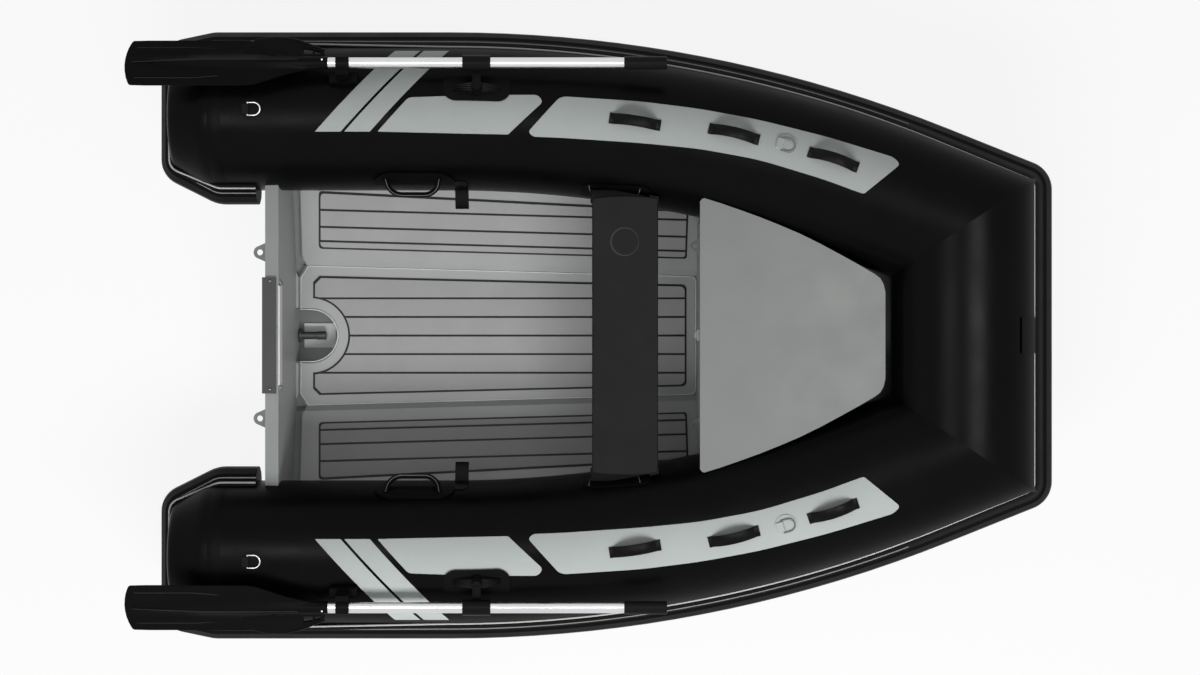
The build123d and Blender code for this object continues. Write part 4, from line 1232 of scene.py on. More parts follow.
@dataclass
class BenchBrackets:
    """Rubber pads that hold the bench's ends, with thin ribs whose grey is a painted highlight."""

    shelf_low: Point = (-0.044, 0.366, 0.345)
    shelf_high: Point = (0.147, 0.404, 0.3805)
    # x, arc inboard
    pad: Plan = field(default_factory=lambda: rounded_outline([
        (-0.046, 0.262), (-0.042, 0.206), (-0.026, 0.196), (0.132, 0.174), (0.155, 0.181), (0.158, 0.262)],
        [0.004, 0.012, 0.012, 0.014, 0.014, 0.004]))
    # x, arc inboard, lift
    ribs: list[list[Point]] = field(default_factory=lambda: [
        [(-0.0225, 0.200, 0.0062), (-0.0195, 0.222, 0.0062), (-0.0120, 0.240, 0.0062)],
        [(0.1260, 0.183, 0.0062), (0.1250, 0.200, 0.0062), (0.1200, 0.216, 0.0062)]])

    def build(self) -> None:
        """Make the brackets on both sides."""
        pad = Drape("bracket_pad", self.pad, SKIN_GAP, 0.0052, 0.015, LINE.wrap).build()
        shelf = box_mesh("bracket_shelf", self.shelf_low, self.shelf_high, 0.003)
        bracket = joined("bench_bracket_port", [pad, shelf])
        dress_both(bracket, MOULDED_RUBBER, ["seat_brackets"])
        # The ribs are dressed grey: painted highlights on the bracket's edges
        rods = [rod(f"bracket_rib_{i}", [LINE.wrap(*p) for p in points], 0.0013, resolution=3)
                for i, points in enumerate(self.ribs)]
        dress_both(joined("bracket_ribs_port", rods), GREY_HIGHLIGHT_RUBBER)


@dataclass(frozen=True)
class Fold:
    """The port fold between the flat deck and the slope beside it."""

    aft: float = -0.889
    half_aft: float = 0.220
    run: float = 1.162
    drift: float = 0.032
    z: float = 0.045
    slope_deg: float = 14.3

    def half(self, x: float) -> float:
        """Return the fold's distance from the middle line."""
        return self.half_aft - self.drift * (x - self.aft) / self.run

    def slope(self) -> Matrix:
        """Find the axes of the slope outboard of the fold.

        Returns:
            A matrix that lays a flat pad on it: along the fold, and out from it.
        """
        run = Vector((self.run, -self.drift, 0)).normalized()
        lean = math.radians(self.slope_deg)
        normal = run.cross(Vector((0, math.cos(lean), math.sin(lean)))).normalized()
        across = normal.cross(run)
        turn = Matrix((run, across, normal)).transposed().to_4x4()
        return Matrix.Translation((self.aft, self.half_aft, self.z)) @ turn


FOLD = Fold()


@dataclass
class CentreDeck:
    """Flat centre deck with softly rounded edges round its outline and drain cut-out."""

    aft: float = -0.889
    fore: float = 0.2605
    riser: float = 0.015
    corner: float = 0.016
    well_x: float = -0.857
    well_r: float = 0.078
    top: float = 0.030
    low: float = 0.021
    aft_half: float = 0.170
    lit_strip_fore: float = 0.273
    lit_strip_half: float = 0.172

    def half(self, x: float) -> float:
        """Return the deck's half width, which the side decks' fold sets."""
        return FOLD.half(x) - self.riser

    def outline(self) -> Plan:
        """Draw the deck's plan.

        Returns:
            The outline with the drain cut-out.
        """
        notch = self.aft + 0.022
        port = [(self.aft, self.well_r), (self.aft, self.aft_half), (notch, self.half(notch))]
        port += arc(self.fore - self.corner, self.half(self.fore) - self.corner, self.corner, 90, 0, 6)
        cut_out = arc(self.well_x, 0.0, self.well_r, -90, 90, 32)
        return port + [(x, -y) for x, y in reversed(port)] + cut_out

    def build(self) -> None:
        """Make the deck, a near-white bead round its edge that paints a highlight, and a near-white strip
        beside the bulkhead that paints the light showing through there.
        """
        deck = plate("centre_deck", self.outline(), self.low, self.top, 0.0042)
        dress(deck, DECK_COAT, "boat", ["deck_centre"])
        # A near-white bead round the deck's outline: a painted highlight on its rounded edge
        inset, highlight_bead_z = 0.0022, self.top - 0.0006
        line = [Vector((x + (inset if x < self.aft + 0.03 else 0), y - math.copysign(inset, y), highlight_bead_z))
                for x, y in self.outline()]
        edge = rod("centre_deck_highlight_bead", line, 0.0017, cyclic=True, resolution=2)
        dress(edge, DECK_PAINTED_LIGHT, "boat")
        # A near-white strip at the fore end: painted light where a gap at the bulkhead shows bright
        strip = box_mesh("centre_deck_lit_strip", (self.fore + 0.0025, -self.lit_strip_half, self.low),
                         (self.lit_strip_fore, self.lit_strip_half, self.top - 0.001), 0.002)
        dress(strip, DECK_PAINTED_LIGHT, "boat")


@dataclass
class DeckPads:
    """Brushed foam planks with dark joints on black backings, on the flat deck and on both slopes."""

    joint: float = 0.0056
    backing: float = 0.0015
    thick: float = 0.0035
    x0: float = -0.851
    x1: float = 0.234
    half_aft: float = 0.173
    narrowing: float = 0.025
    cut_x: float = -0.857
    cut_r: float = 0.108
    notch: float = 0.018
    corner: float = 0.014
    centre_joints: list[float] = field(default_factory=lambda: [-0.108, -0.054, 0.0, 0.054, 0.108])
    side_joints: list[float] = field(default_factory=lambda: [0.058, 0.100, 0.150])
    # along the fold, and out from it
    side_low: tuple[float, float] = (0.056, 0.034)
    side_high: tuple[float, float] = (1.1224, 0.190)

    def half(self, x: float) -> float:
        """Return the centre pad's half width."""
        return self.half_aft - self.narrowing * (x - self.x0) / (self.x1 - self.x0)

    def centre(self, inset: float) -> Plan:
        """Draw the centre pad's outline, with its round drain cut-out.

        Args:
            inset: How far it is drawn in on all sides.

        Returns:
            The outline.
        """
        x0, x1 = self.x0 + inset, self.x1 - inset
        y0, y1 = self.half(x0) - inset, self.half(x1) - inset
        radius = self.cut_r + inset
        start = math.asin(min(1.0, (x0 - self.cut_x) / radius))
        port = [(x0, radius * math.cos(start)), (x0, y0 - self.notch), (x0 + self.notch, y0)]
        port += arc(x1 - self.corner, y1 - self.corner, self.corner, 90, 0, 6)
        reach = 90 - math.degrees(start)
        cut_out = arc(self.cut_x, 0.0, radius, -reach, reach, 40)[1:-1]
        return port + [(x, -y) for x, y in reversed(port)] + cut_out

    def side(self, inset: float) -> Plan:
        """Draw a side pad's outline on its slope.

        Args:
            inset: How far it is drawn in on all sides.

        Returns:
            The outline, along the fold and out from it.
        """
        s0, low = (value + inset for value in self.side_low)
        s1, high = (value - inset for value in self.side_high)
        corners = [(s0, low), (s1, low), (s1, high - 0.012), (s0, high + 0.014)]
        return rounded_outline(corners, [0.012, 0.009, 0.014, 0.012], 5)

    def planks(self, name: str, outline: Plan, joints: Sequence[float], low: float) -> bpy.types.Object:
        """Split an outline at its joints.

        Args:
            name: Object name.
            outline: The planked outline.
            joints: Where the joints' centre lines lie.
            low: Height of the planks' underside.

        Returns:
            All planks as one mesh.
        """
        slab = plate("plank_slab", outline, low, low + self.thick)
        edges = [-1.0, *joints, 1.0]
        parts = []
        for i, (start, end) in enumerate(zip(edges, edges[1:])):
            work = bmesh.new()
            work.from_mesh(slab.data)
            for at, way in ((start + self.joint / 2, -1), (end - self.joint / 2, 1)):
                geom = work.verts[:] + work.edges[:] + work.faces[:]
                bmesh.ops.bisect_plane(work, geom=geom, plane_co=(0, at, 0), plane_no=(0, way, 0),
                                       clear_outer=True)
            bmesh.ops.holes_fill(work, edges=[e for e in work.edges if e.is_boundary])
            part = from_bmesh(f"plank_{i}", work)
            finish_mesh(part, 12.0)
            parts.append(bevelled(part, 0.0007, 1))
        bpy.data.objects.remove(slab)
        return joined(name, parts)

    def build(self) -> None:
        """Make the three pads."""
        top = CentreDeck.top
        back = plate("pad_backing_centre", self.centre(0.0), top, top + self.backing)
        planks = self.planks("foam_planks_centre", self.centre(self.joint), self.centre_joints,
                             top + self.backing)
        dress(planks, FOAM_GREY, "boat", ["planks_centre"])
        side_back = plate("pad_backing_side", self.side(0.0), 0.0, self.backing)
        side = self.planks("foam_planks_port", self.side(self.joint), self.side_joints, self.backing)
        for piece in (side_back, side):
            piece.data.transform(FOLD.slope())
        other_back = mirrored(side_back, "pad_backing_other")
        dress_both(side, FOAM_GREY, ["planks_port"])
        dress(joined("pad_backing_sheets", [back, side_back, other_back]), FOAM_BLACK_AND_SHADE, "boat",
              ["pad_backings"])


@dataclass
class DrainFittings:
    """Pale pad and dark drain pipe in the well, and the shelf plate round the well's aft end."""

    floor_z: float = -0.042
    pad_thick: float = 0.004
    pipe_x: float = -0.896
    pipe_z: float = -0.020
    pad: Plan = field(default_factory=lambda: [
        (-0.885, -0.036), (-0.792, -0.036), (-0.792, 0.036), (-0.885, 0.036)])
    # radius, distance forward from the flange
    pipe: Plan = field(default_factory=lambda: [
        (0.0082, 0.0), (0.0208, 0.0), (0.0212, 0.001), (0.0212, 0.005), (0.0205, 0.006), (0.0118, 0.0062),
        (0.0112, 0.008), (0.0112, 0.052), (0.0122, 0.053), (0.0122, 0.075), (0.0116, 0.077), (0.0082, 0.077),
        (0.0082, 0.0)])
    shelf: Plan = field(default_factory=lambda: [
        (-0.935, 0.079), (-0.8935, 0.079), (-0.8935, 0.170), (-0.9195, 0.219), (-0.935, 0.219)])

    def build(self) -> None:
        """Make the fittings."""
        pad_top = self.floor_z + self.pad_thick
        pad = plate("drain_pad", rounded_outline(self.pad, 0.002), self.floor_z, pad_top, 0.001)
        dress(pad, WELL_PAD, "boat")
        place = Matrix.Translation((self.pipe_x, 0, self.pipe_z)) @ Matrix.Rotation(math.radians(90), 4, "Y")
        pipe = lathe("drain_pipe_turned", self.pipe, place, 32)
        stand = box_mesh("drain_stand", (-0.860, -0.008, pad_top), (-0.846, 0.008, self.pipe_z - 0.010),
                         0.0015)
        dress(joined("drain_pipe_whole", [pipe, stand]), PIPE_PLASTIC, "boat",
              ["drain_pipe"])
        dress_both(plate("well_shelf_port", self.shelf, 0.012, 0.027, 0.002), DECK_COAT)


@dataclass(frozen=True)
class Transom:
    """The transom's sizes, which its fittings share."""

    fore: float = -0.915
    thick: float = 0.036
    top: float = 0.325
    rake_deg: float = 2.5

    @property
    def aft(self) -> float:
        """Where the aft face lies at the top."""
        return self.fore - self.thick

    def lean(self) -> Matrix:
        """Return the transom's lean about its top aft edge."""
        pivot = Matrix.Translation((self.aft, 0, self.top))
        return pivot @ Matrix.Rotation(math.radians(-self.rake_deg), 4, "Y") @ pivot.inverted()


TRANSOM = Transom()


@dataclass
class MotorMount:
    """White clamp strip on the transom's fore face, its end brackets and the cap's screws."""

    half: float = 0.139
    strip_thick: float = 0.0045
    screw_y: float = 0.151

    def build(self) -> None:
        """Make the strip, brackets and screws."""
        fore, top = TRANSOM.fore, TRANSOM.top
        strip = box_mesh("clamp_strip", (fore, -self.half, top - 0.046),
                         (fore + self.strip_thick, self.half, top - 0.002), 0.0012, TRANSOM.lean())
        dress(strip, CLAMP_PLASTIC, "boat", ["clamp_plate"])
        ends = []
        for side in (-1, 1):
            corners = [(fore, side * (self.half + 0.002)), (fore + 0.010, side * (self.half + 0.004)),
                       (fore, side * (self.half + 0.020))]
            piece = plate(f"clamp_bracket_{side}", corners, top - 0.040, top - 0.012, 0.0008)
            piece.data.transform(TRANSOM.lean())
            ends.append(piece)
        dress(joined("clamp_brackets", ends), HULL_COAT, "boat")
        spots = [Vector((fore - 0.021, y, top + 0.0062)) for y in (-self.screw_y, self.screw_y)]
        heads = Row("cap_screws", 2, (0.0095, 0.0095, 0.0040), True, STEEL).along(spots)
        dress(heads, STEEL, "boat")


@dataclass
class OarlockPads:
    """Glued rubber sockets with a ribbed wedge on each side of the pin."""

    pin_x: float = -0.354
    out: float = 0.0605
    rib_rise: float = 0.0016
    # x, arc inboard
    pad: Plan = field(default_factory=lambda: rounded_outline([
        (-0.446, -0.096), (-0.446, -0.044), (-0.424, -0.028), (-0.286, -0.028), (-0.264, -0.044),
        (-0.264, -0.096)], [0.020, 0.016, 0.016, 0.016, 0.016, 0.020]))
    # radius, height off the chamber
    boss: Plan = field(default_factory=lambda: [
        (0.0086, 0.002), (0.021, 0.002), (0.020, 0.012), (0.0165, 0.0165), (0.0158, 0.0238), (0.0150, 0.0240),
        (0.0086, 0.0240)])

    def wedge(self, name: str, inner: float, outer: float) -> bpy.types.Object:
        """Make a wedge that falls away from the pin, with ribs along it.

        Args:
            name: Object name.
            inner: Its x beside the pin.
            outer: Its x at the low end.

        Returns:
            The wedge.
        """
        ribs, steps, foot = 4, 6, 0.006
        rings = []
        for i in range(steps + 1):
            t = i / steps
            x = inner + (outer - inner) * t
            half = 0.0145 - 0.005 * t
            crest = 0.0185 - 0.010 * t
            across = [(half, foot), (half, crest * 0.7)]
            for k in range(ribs * 4 + 1):
                u = 1 - 2 * k / (ribs * 4)
                across.append((u * (half - 0.002), crest + self.rib_rise * math.cos(math.tau * k / 4)))
            across += [(-half, crest * 0.7), (-half, foot)]
            rings.append([LINE.wrap(x, off - self.out, lift) for off, lift in across])
        return rings_mesh(name, rings, caps=True, sharp_deg=50)

    def build(self) -> None:
        """Make the sockets on both sides."""
        pad = Drape("oarlock_pad", self.pad, SKIN_GAP, 0.0072, 0.015, LINE.wrap).build()
        root = LINE.wrap(self.pin_x, -self.out, 0.0)
        up = (LINE.wrap(self.pin_x, -self.out, 0.1) - root).normalized()
        turn = Vector((0, 0, 1)).rotation_difference(up).to_matrix().to_4x4()
        boss = lathe("oarlock_boss", self.boss, Matrix.Translation(root) @ turn, 32)
        wedges = joined("oarlock_wedges_port", [
            self.wedge(f"oarlock_wedge_{way}", self.pin_x + way * 0.012, self.pin_x + way * 0.066)
            for way in (1, -1)])
        # The wedges' black is lighter and glossier than the pad's: painted highlights on their ribs
        dress_both(wedges, WEDGE_HIGHLIGHT_RUBBER)
        dress_both(joined("oarlock_pad_port", [pad, boss]), MOULDED_RUBBER,
                   ["oarlock_bases"])


@dataclass
class TowEyes:
    """Rounded towing eyes welded to the transom."""

    y: float = 0.234
    reach: float = 0.028
    nose_r: float = 0.018
    hole_r: float = 0.0085
    foot_half: float = 0.032

    def build(self) -> None:
        """Make the two eyes."""
        aft = TRANSOM.aft
        hole_x = aft - self.reach
        nose = arc(hole_x, self.y, self.nose_r, 255, 105, 14)
        outline = [(aft, self.y - self.foot_half), *nose, (aft, self.y + self.foot_half)]
        hole = circle(hole_x, self.y, self.hole_r, 24)
        eye = plate("tow_eye_plate_port", outline, 0.246, 0.252, 0.0012, [hole])
        eye.data.transform(TRANSOM.lean())
        dress_both(eye, FITTING_COAT, ["tow_eyes"])


@dataclass
class TieEyes:
    """Rounded lugs with a hole, on the locker's bulkhead."""

    root: float = 0.275
    hole_x: float = 0.252
    y: float = 0.254
    z: float = 0.196
    nose_r: float = 0.0125
    hole_r: float = 0.0062
    foot: Plan = field(default_factory=lambda: [(0.0, 0.028), (-0.006, 0.027)])

    def build(self) -> None:
        """Make the two lugs."""
        nose = arc(self.hole_x, self.y, self.nose_r, 110, 250, 14)
        outline = [(self.root + x, self.y + y) for x, y in self.foot] + nose
        outline += [(self.root + x, self.y - y) for x, y in reversed(self.foot)]
        hole = circle(self.hole_x, self.y, self.hole_r, 20)
        lug = plate("tie_eye_lug_port", outline, self.z - 0.003, self.z + 0.003, 0.0008, [hole])
        dress_both(lug, FITTING_COAT, ["tie_eyes"])


@dataclass
class TransomFacing:
    """Pale sheet on the transom's fore face."""

    thick: float = 0.0006
    facing: float = 0.9  # a face whose normal points forward at least this much is the fore face

    def build(self) -> None:
        """Lift the fore face off the transom as a thin sheet."""
        work = bmesh.new()
        work.from_mesh(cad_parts["transom"].data)
        rest = [f for f in work.faces if f.normal.x < self.facing]
        bmesh.ops.delete(work, geom=rest, context="FACES")
        thicken(work, (self.thick, 0, 0))
        sheet = from_bmesh("transom_facing", work)
        finish_mesh(sheet, 30.0)
        dress(sheet, DECK_COAT, "boat")


@dataclass
class StrakeLine:
    """The rubbing strake's line from its inner stern end round to the centre of the bow."""

    out: float = 0.034
    half: float = 0.058
    corner_r: float = 0.046
    bead_r: float = 0.0027
    fine_r: float = 0.0018
    fine_fore: float = 0.86
    # angle of the pale bead up the chamber, aft and how much more at the bow
    bead_deg: tuple[float, float] = (23.6, 3.4)
    bead_lift: float = 0.0012
    # out and up from the strake's lip: on the stern end, then on the inner stern run
    bead_at: Plan = field(default_factory=lambda: [(0.0022, 0.0088), (-0.0076, 0.0120)])
    # the same for the fine bead: on the stern end, the side and the inner stern run
    fine_at: Plan = field(default_factory=lambda: [(0.0022, 0.0045), (-0.0004, 0.0098), (0.0055, 0.0030)])
    # start and length of the stretches over which the beads change place: two in x, one in y
    side_span: tuple[float, float] = (-1.12, 0.14)
    climb_span: tuple[float, float] = (0.70, 0.46)
    inner_span: tuple[float, float] = (0.4025, 0.066)
    inner_fore: float = -0.9
    # x, y, radius of the line round the chamber's end
    stern: list[Point] = field(default_factory=lambda: [
        (-0.977, 0.4025, 0.0), (-1.084, 0.4025, 0.060), (-1.216, 0.4685, 0.040), (-1.216, 0.793, 0.040),
        (-1.097, 0.818, 0.080), (-0.440, 0.818, 0.0)])

    def stations(self) -> list[tuple[Vector, Vector, Vector]]:
        """Follow the strake round the port half.

        Returns:
            Origin, outward way and heading at close steps along the line.
        """
        run = [(Vector((*self.stern[0][:2], LINE.z)), Vector((0, -1, 0)), Vector((-1, 0, 0)))]
        trimmed = 0.0
        for before, here, after in zip(self.stern, self.stern[1:], self.stern[2:]):
            leg_in = Vector(here[:2]) - Vector(before[:2])
            leg_out = Vector(after[:2]) - Vector(here[:2])
            angle = leg_in.angle(leg_out)
            cut = here[2] * math.tan(angle / 2)
            self.straight(run, leg_in.length - cut - trimmed)
            self.turn(run, here[2], Vector((0, 0, -1)), angle)
            trimmed = cut
            last = leg_out.length - cut
        self.straight(run, last)
        edge_r = LINE.bend_r + LINE.radius
        tilt = math.asin(math.sin(LINE.tilt) * LINE.bend_r / edge_r)
        self.turn(run, edge_r, Vector((0, -math.sin(tilt), -math.cos(tilt))), LINE.bend, 40)
        origin, _, heading = run[-1]
        to_corner = (LINE.bow_x + LINE.radius - origin.x) / heading.x
        across = Vector((0, -1, 0))
        angle = heading.angle(across)
        cut = self.corner_r * math.tan(angle / 2)
        corner = origin + heading * to_corner
        self.straight(run, to_corner - cut)
        self.turn(run, self.corner_r, heading.cross(across).normalized(), angle)
        self.straight(run, corner.y - cut)
        return run

    @staticmethod
    def straight(run: list, length: float) -> None:
        """Carry the line straight on."""
        origin, out, heading = run[-1]
        run.append((origin + heading * length, out, heading))

    @staticmethod
    def turn(run: list, radius: float, axis: Vector, angle: float, steps: int = 10) -> None:
        """Carry the line round a bend.

        Args:
            run: The line's stations so far, which grow.
            radius: Radius of the bend.
            axis: Axis that it turns about.
            angle: How far it turns, in radians.
            steps: Stations on the bend.
        """
        origin, out, heading = run[-1]
        centre = origin + axis.cross(heading) * radius
        for i in range(1, steps + 1):
            spin = Matrix.Rotation(angle * i / steps, 3, axis)
            run.append((centre + spin @ (origin - centre), spin @ out, spin @ heading))

    def rings(self, section: Callable[[Vector], Plan]) -> list[list[Vector]]:
        """Return the section's rings along the port half.

        Args:
            section: Section points, outward and up, for a place on the line.

        Returns:
            One ring for each station.
        """
        rings = []
        for origin, out, heading in self.stations():
            up = heading.cross(out).normalized()
            up = -up if up.z < 0 else up
            rings.append([origin + out * u + up * v for u, v in section(origin)])
        return rings

    def sweep(self, name: str, section: Callable[[Vector], Plan]) -> bpy.types.Object:
        """Carry a section round the whole boat as one closed mesh.

        Args:
            name: Object name.
            section: Section points for a place on the line.

        Returns:
            The mesh from the port stern to the starboard stern.
        """
        rings = self.rings(section)
        other = [[Vector((p.x, -p.y, p.z)) for p in ring] for ring in reversed(rings[:-1])]
        return rings_mesh(name, rings + other, caps=True, sharp_deg=70)

    @staticmethod
    def share(value: float, start: float, length: float) -> float:
        """Return how far a value has come along a stretch, from zero to one."""
        return min(1.0, max(0.0, (value - start) / length))

    def shares(self, spot: Vector) -> tuple[float, float]:
        """Return how far a place lies on the chamber's side, and on its inner stern run."""
        inner = 1.0 - self.share(spot.y, *self.inner_span) if spot.x < self.inner_fore else 0.0
        return self.share(spot.x, *self.side_span), inner

    def above_lip(self, place: tuple[float, float]) -> Vector:
        """Return a place that is given outward and up from the strake's upper lip."""
        return Vector((place[0], self.half + place[1]))

    def seat(self, spot: Vector) -> tuple[float, float]:
        """Place the pale bead, which climbs towards the bow on the sides.

        Args:
            spot: A place on the strake's line.

        Returns:
            How far outward and up from there it lies.
        """
        side, inner = self.shares(spot)
        start, climb = self.bead_deg
        angle = math.radians(start + climb * self.share(spot.x, *self.climb_span))
        reach = LINE.radius + self.bead_lift
        on_side = Vector((reach * math.cos(angle) - LINE.radius, reach * math.sin(angle)))
        on_end, on_inner = (self.above_lip(place) for place in self.bead_at)
        at = on_end.lerp(on_side, side).lerp(on_inner, inner)
        return at.x, at.y

    def fine_seat(self, spot: Vector) -> tuple[float, float]:
        """Place the fine bead below the pale one.

        Args:
            spot: A place on the strake's line.

        Returns:
            How far outward and up from there it lies.
        """
        side, inner = self.shares(spot)
        on_end, on_side, on_inner = (self.above_lip(place) for place in self.fine_at)
        at = on_end.lerp(on_side, side).lerp(on_inner, inner)
        return at.x, at.y

    def carrier(self, spot: Vector) -> Plan:
        """Draw the section of the black strip between the strake and the bead.

        Args:
            spot: A place on the strake's line.

        Returns:
            The section, outward and up.
        """
        u, v = self.seat(spot)
        low = self.half - 0.004
        _, inner = self.shares(spot)
        back = 0.005 + 0.006 * inner
        return [(u - back, low), (0.006, low), (0.006, low + 0.006), (u + 0.0042, v - 0.0012),
                (u + 0.001, v + 0.0006), (u - back, v - 0.001)]

    def build(self) -> None:
        """Make the strake's carrier, the pale piping and the fine bead."""
        carrier = self.sweep("piping_carrier", self.carrier)
        dress(carrier, STRAKE_RUBBER, "boat")
        pale = self.sweep("piping_bead", lambda spot: circle(*self.seat(spot), self.bead_r, 12))
        dress(pale, PIPING_RUBBER, "boat", ["piping_port", "piping_bow", "piping_starboard"])
        rings = self.rings(lambda spot: circle(*self.fine_seat(spot), self.fine_r, 8))
        rings = [ring for ring in rings if ring[0].x < self.fine_fore]
        fine = rings_mesh("piping_fine_bead_port", rings, caps=True, sharp_deg=80)
        dress_both(fine, PIPING_WORN)


@dataclass
class Bench:
    """Moulded bench with softly bowed ends and a flush round hatch."""

    x: float = 0.0515
    wide: float = 0.182
    long: float = 0.771
    top: float = 0.4068
    thick: float = 0.026
    cap_y: float = 0.258
    cap_r: float = 0.0362

    def outline(self) -> Plan:
        """Draw the bench's plan.

        Returns:
            The outline, its ends bowed out by a few millimetres.
        """
        half_w, half_l, bow = self.wide / 2, self.long / 2, 0.006
        port = [(self.x + t * half_w, half_l - bow * t * t) for t in (-1 + i / 6 for i in range(13))]
        starboard = [(px, -py) for px, py in reversed(port)]
        return rounded_outline(port[::-1] + starboard[::-1], 0.010, 4)

    def build(self) -> None:
        """Make the bench, its hatch and the painted shadow round the hatch."""
        body = plate("bench", self.outline(), self.top - self.thick, self.top, 0.005)
        dress(body, SEAT_PLASTIC, "boat", ["seat"])
        place = Matrix.Translation((self.x, self.cap_y, self.top))
        rim = self.cap_r
        hatch = lathe("bench_hatch", [
            (0.0002, -0.004), (rim, -0.004), (rim, 0.0004), (rim - 0.0008, 0.0010), (0.0002, 0.0010)], place)
        dress(hatch, SEAT_PLASTIC, "boat", ["seat_cap"])
        # A dark ring round the hatch, set aft so that it is wider there: painted shadow
        shadow_ring = lathe("bench_hatch_shadow_ring", [
            (rim - 0.004, -0.004), (rim + 0.0034, -0.004), (rim + 0.0034, 0.0003), (rim - 0.004, 0.0003),
            (rim - 0.004, -0.004)], Matrix.Translation((-0.0016, 0, 0)) @ place)
        dress(shadow_ring, FOAM_BLACK_AND_SHADE, "boat")


class Side(Enum):
    """Side of the boat that an oar lies on."""

    PORT = "port"
    STARBOARD = "starboard"


@dataclass
class OarBlade:
    """Moulded oar blade with a hollow neck, spine and stiffening ribs."""

    y: float = 0.742
    z: float = 0.482
    tilt_deg: float = 30.0
    tip: float = -1.3118
    spine_full: float = -1.10
    spine_tip: float = 0.0035
    spine_root: float = 0.018
    face: float = 0.0032
    # x, half width
    stations: Plan = field(default_factory=lambda: [
        (-1.3118, 0.010), (-1.3095, 0.030), (-1.3055, 0.048), (-1.3005, 0.062), (-1.2972, 0.0695),
        (-1.2925, 0.0735), (-1.25, 0.0748), (-1.20, 0.0748), (-1.15, 0.0748), (-1.10, 0.0748),
        (-1.05, 0.0748), (-1.00, 0.0746), (-0.975, 0.0736), (-0.955, 0.0705), (-0.93, 0.062),
        (-0.90, 0.0495), (-0.866, 0.036), (-0.835, 0.028), (-0.808, 0.022), (-0.785, 0.0183)])
    # x of the neck's last rings, and how much each is narrower than the one before
    neck: tuple[float, float] = (-0.775, -0.7588)
    neck_share: float = 0.0178 / 0.0181
    # stiffening ribs in the blade's faces: distance across, half width, height, and from where to where
    rib_across: tuple[float, float] = (-0.046, 0.046)
    rib_half: float = 0.006
    rib_rise: float = 0.0055
    rib_x: tuple[float, float] = (-1.262, -1.04)
    # x, across, height of the grey lines on the ribs and spine: painted highlights
    crest_highlights: list[list[Point]] = field(default_factory=lambda: [
        [(-1.282, -0.052, 0.0034), (-1.120, -0.052, 0.0034), (-1.055, -0.04576, 0.0040)],
        [(-1.282, 0.049, 0.0034), (-1.120, 0.049, 0.0034), (-1.055, 0.04312, 0.0040)],
        [(-1.292, 0.0, 0.0052), (-1.20, 0.0, 0.0112), (-1.10, 0.0, 0.0180), (-0.84, 0.0, 0.0180)]])
    # x and distance across of the guard fin on the neck's outboard side, and of its two slots
    fin: Plan = field(default_factory=lambda: [
        (-1.000, 0.050), (-0.962, 0.0745), (-0.897, 0.0845), (-0.843, 0.0735), (-0.772, 0.040),
        (-0.764, 0.012), (-0.980, 0.012)])
    fin_slots: list[Plan] = field(default_factory=lambda: [
        [(-0.827, 0.028), (-0.802, 0.028), (-0.802, 0.043), (-0.827, 0.047)],
        [(-0.796, 0.028), (-0.781, 0.028), (-0.781, 0.036), (-0.796, 0.040)]])
    # radius, height
    rivet: Plan = field(default_factory=lambda: [
        (0.0001, 0.0028), (0.0022, 0.0022), (0.0032, 0.0006), (0.0032, -0.003)])

    def spine(self, x: float) -> float:
        """Find the half height of the blade's spine.

        Args:
            x: Metres forward.

        Returns:
            The height, which grows from the tip to the root.
        """
        if x > self.spine_full:
            return self.spine_root
        t = (x - self.tip) / (self.spine_full - self.tip)
        return self.spine_tip + (self.spine_root - self.spine_tip) * max(0.0, t) ** 1.2

    def rise(self, x: float, half: float, across: float) -> float:
        """Return the blade's half thickness at a place.

        Args:
            x: Metres forward.
            half: Its half width there.
            across: Distance from its middle line.

        Returns:
            Height of its face over its middle plane.
        """
        spine = min(self.spine(x), half)
        rise = self.face
        if abs(across) < spine:
            rise = max(rise, math.sqrt(max(spine ** 2 - across ** 2, 0)))
        on_rib = any(abs(across - rib) < self.rib_half for rib in self.rib_across)
        if on_rib and self.rib_x[0] < x < self.rib_x[1]:
            rise = max(rise, self.rib_rise)
        return rise

    def section(self, x: float, half: float) -> list[Vector]:
        """Draw the blade's ring at a station, with thin edges.

        Args:
            x: Metres forward.
            half: Its half width there.

        Returns:
            The ring.
        """
        count = 17
        edge = 0.0008 if half > 0.019 else 0.0
        spots = [half * math.cos(math.pi * i / (count - 1)) for i in range(count)]
        heights = [edge, *(self.rise(x, half, across) for across in spots[1:-1]), edge]
        top = list(zip(spots, heights))
        return [Vector((x, a, h)) for a, h in top] + [Vector((x, a, -h)) for a, h in reversed(top[1:-1])]

    def build(self, side: Side) -> None:
        """Make the blade, the grey painted highlights on its ribs and spine, and its rivet.

        Args:
            side: Which oar.
        """
        name = side.value
        rings = [self.section(x, half) for x, half in self.stations]
        for x in self.neck:
            rings.append([Vector((x, v.y * self.neck_share, v.z)) for v in rings[-1]])
        sheet = rings_mesh(f"blade_{name}_sheet", rings, caps=True, sharp_deg=50)
        fin = plate(f"fin_{name}", rounded_outline(self.fin, 0.012), -0.0035, 0.0035, 0.0015, self.fin_slots)
        guard = [Vector((x, y, 0.0)) for x, y in self.fin[1:5]]
        guard = rod(f"fin_crest_{name}", rounded_path(guard, 0.02), 0.0052)
        blade = joined(f"blade_{name}", [sheet, fin, guard])
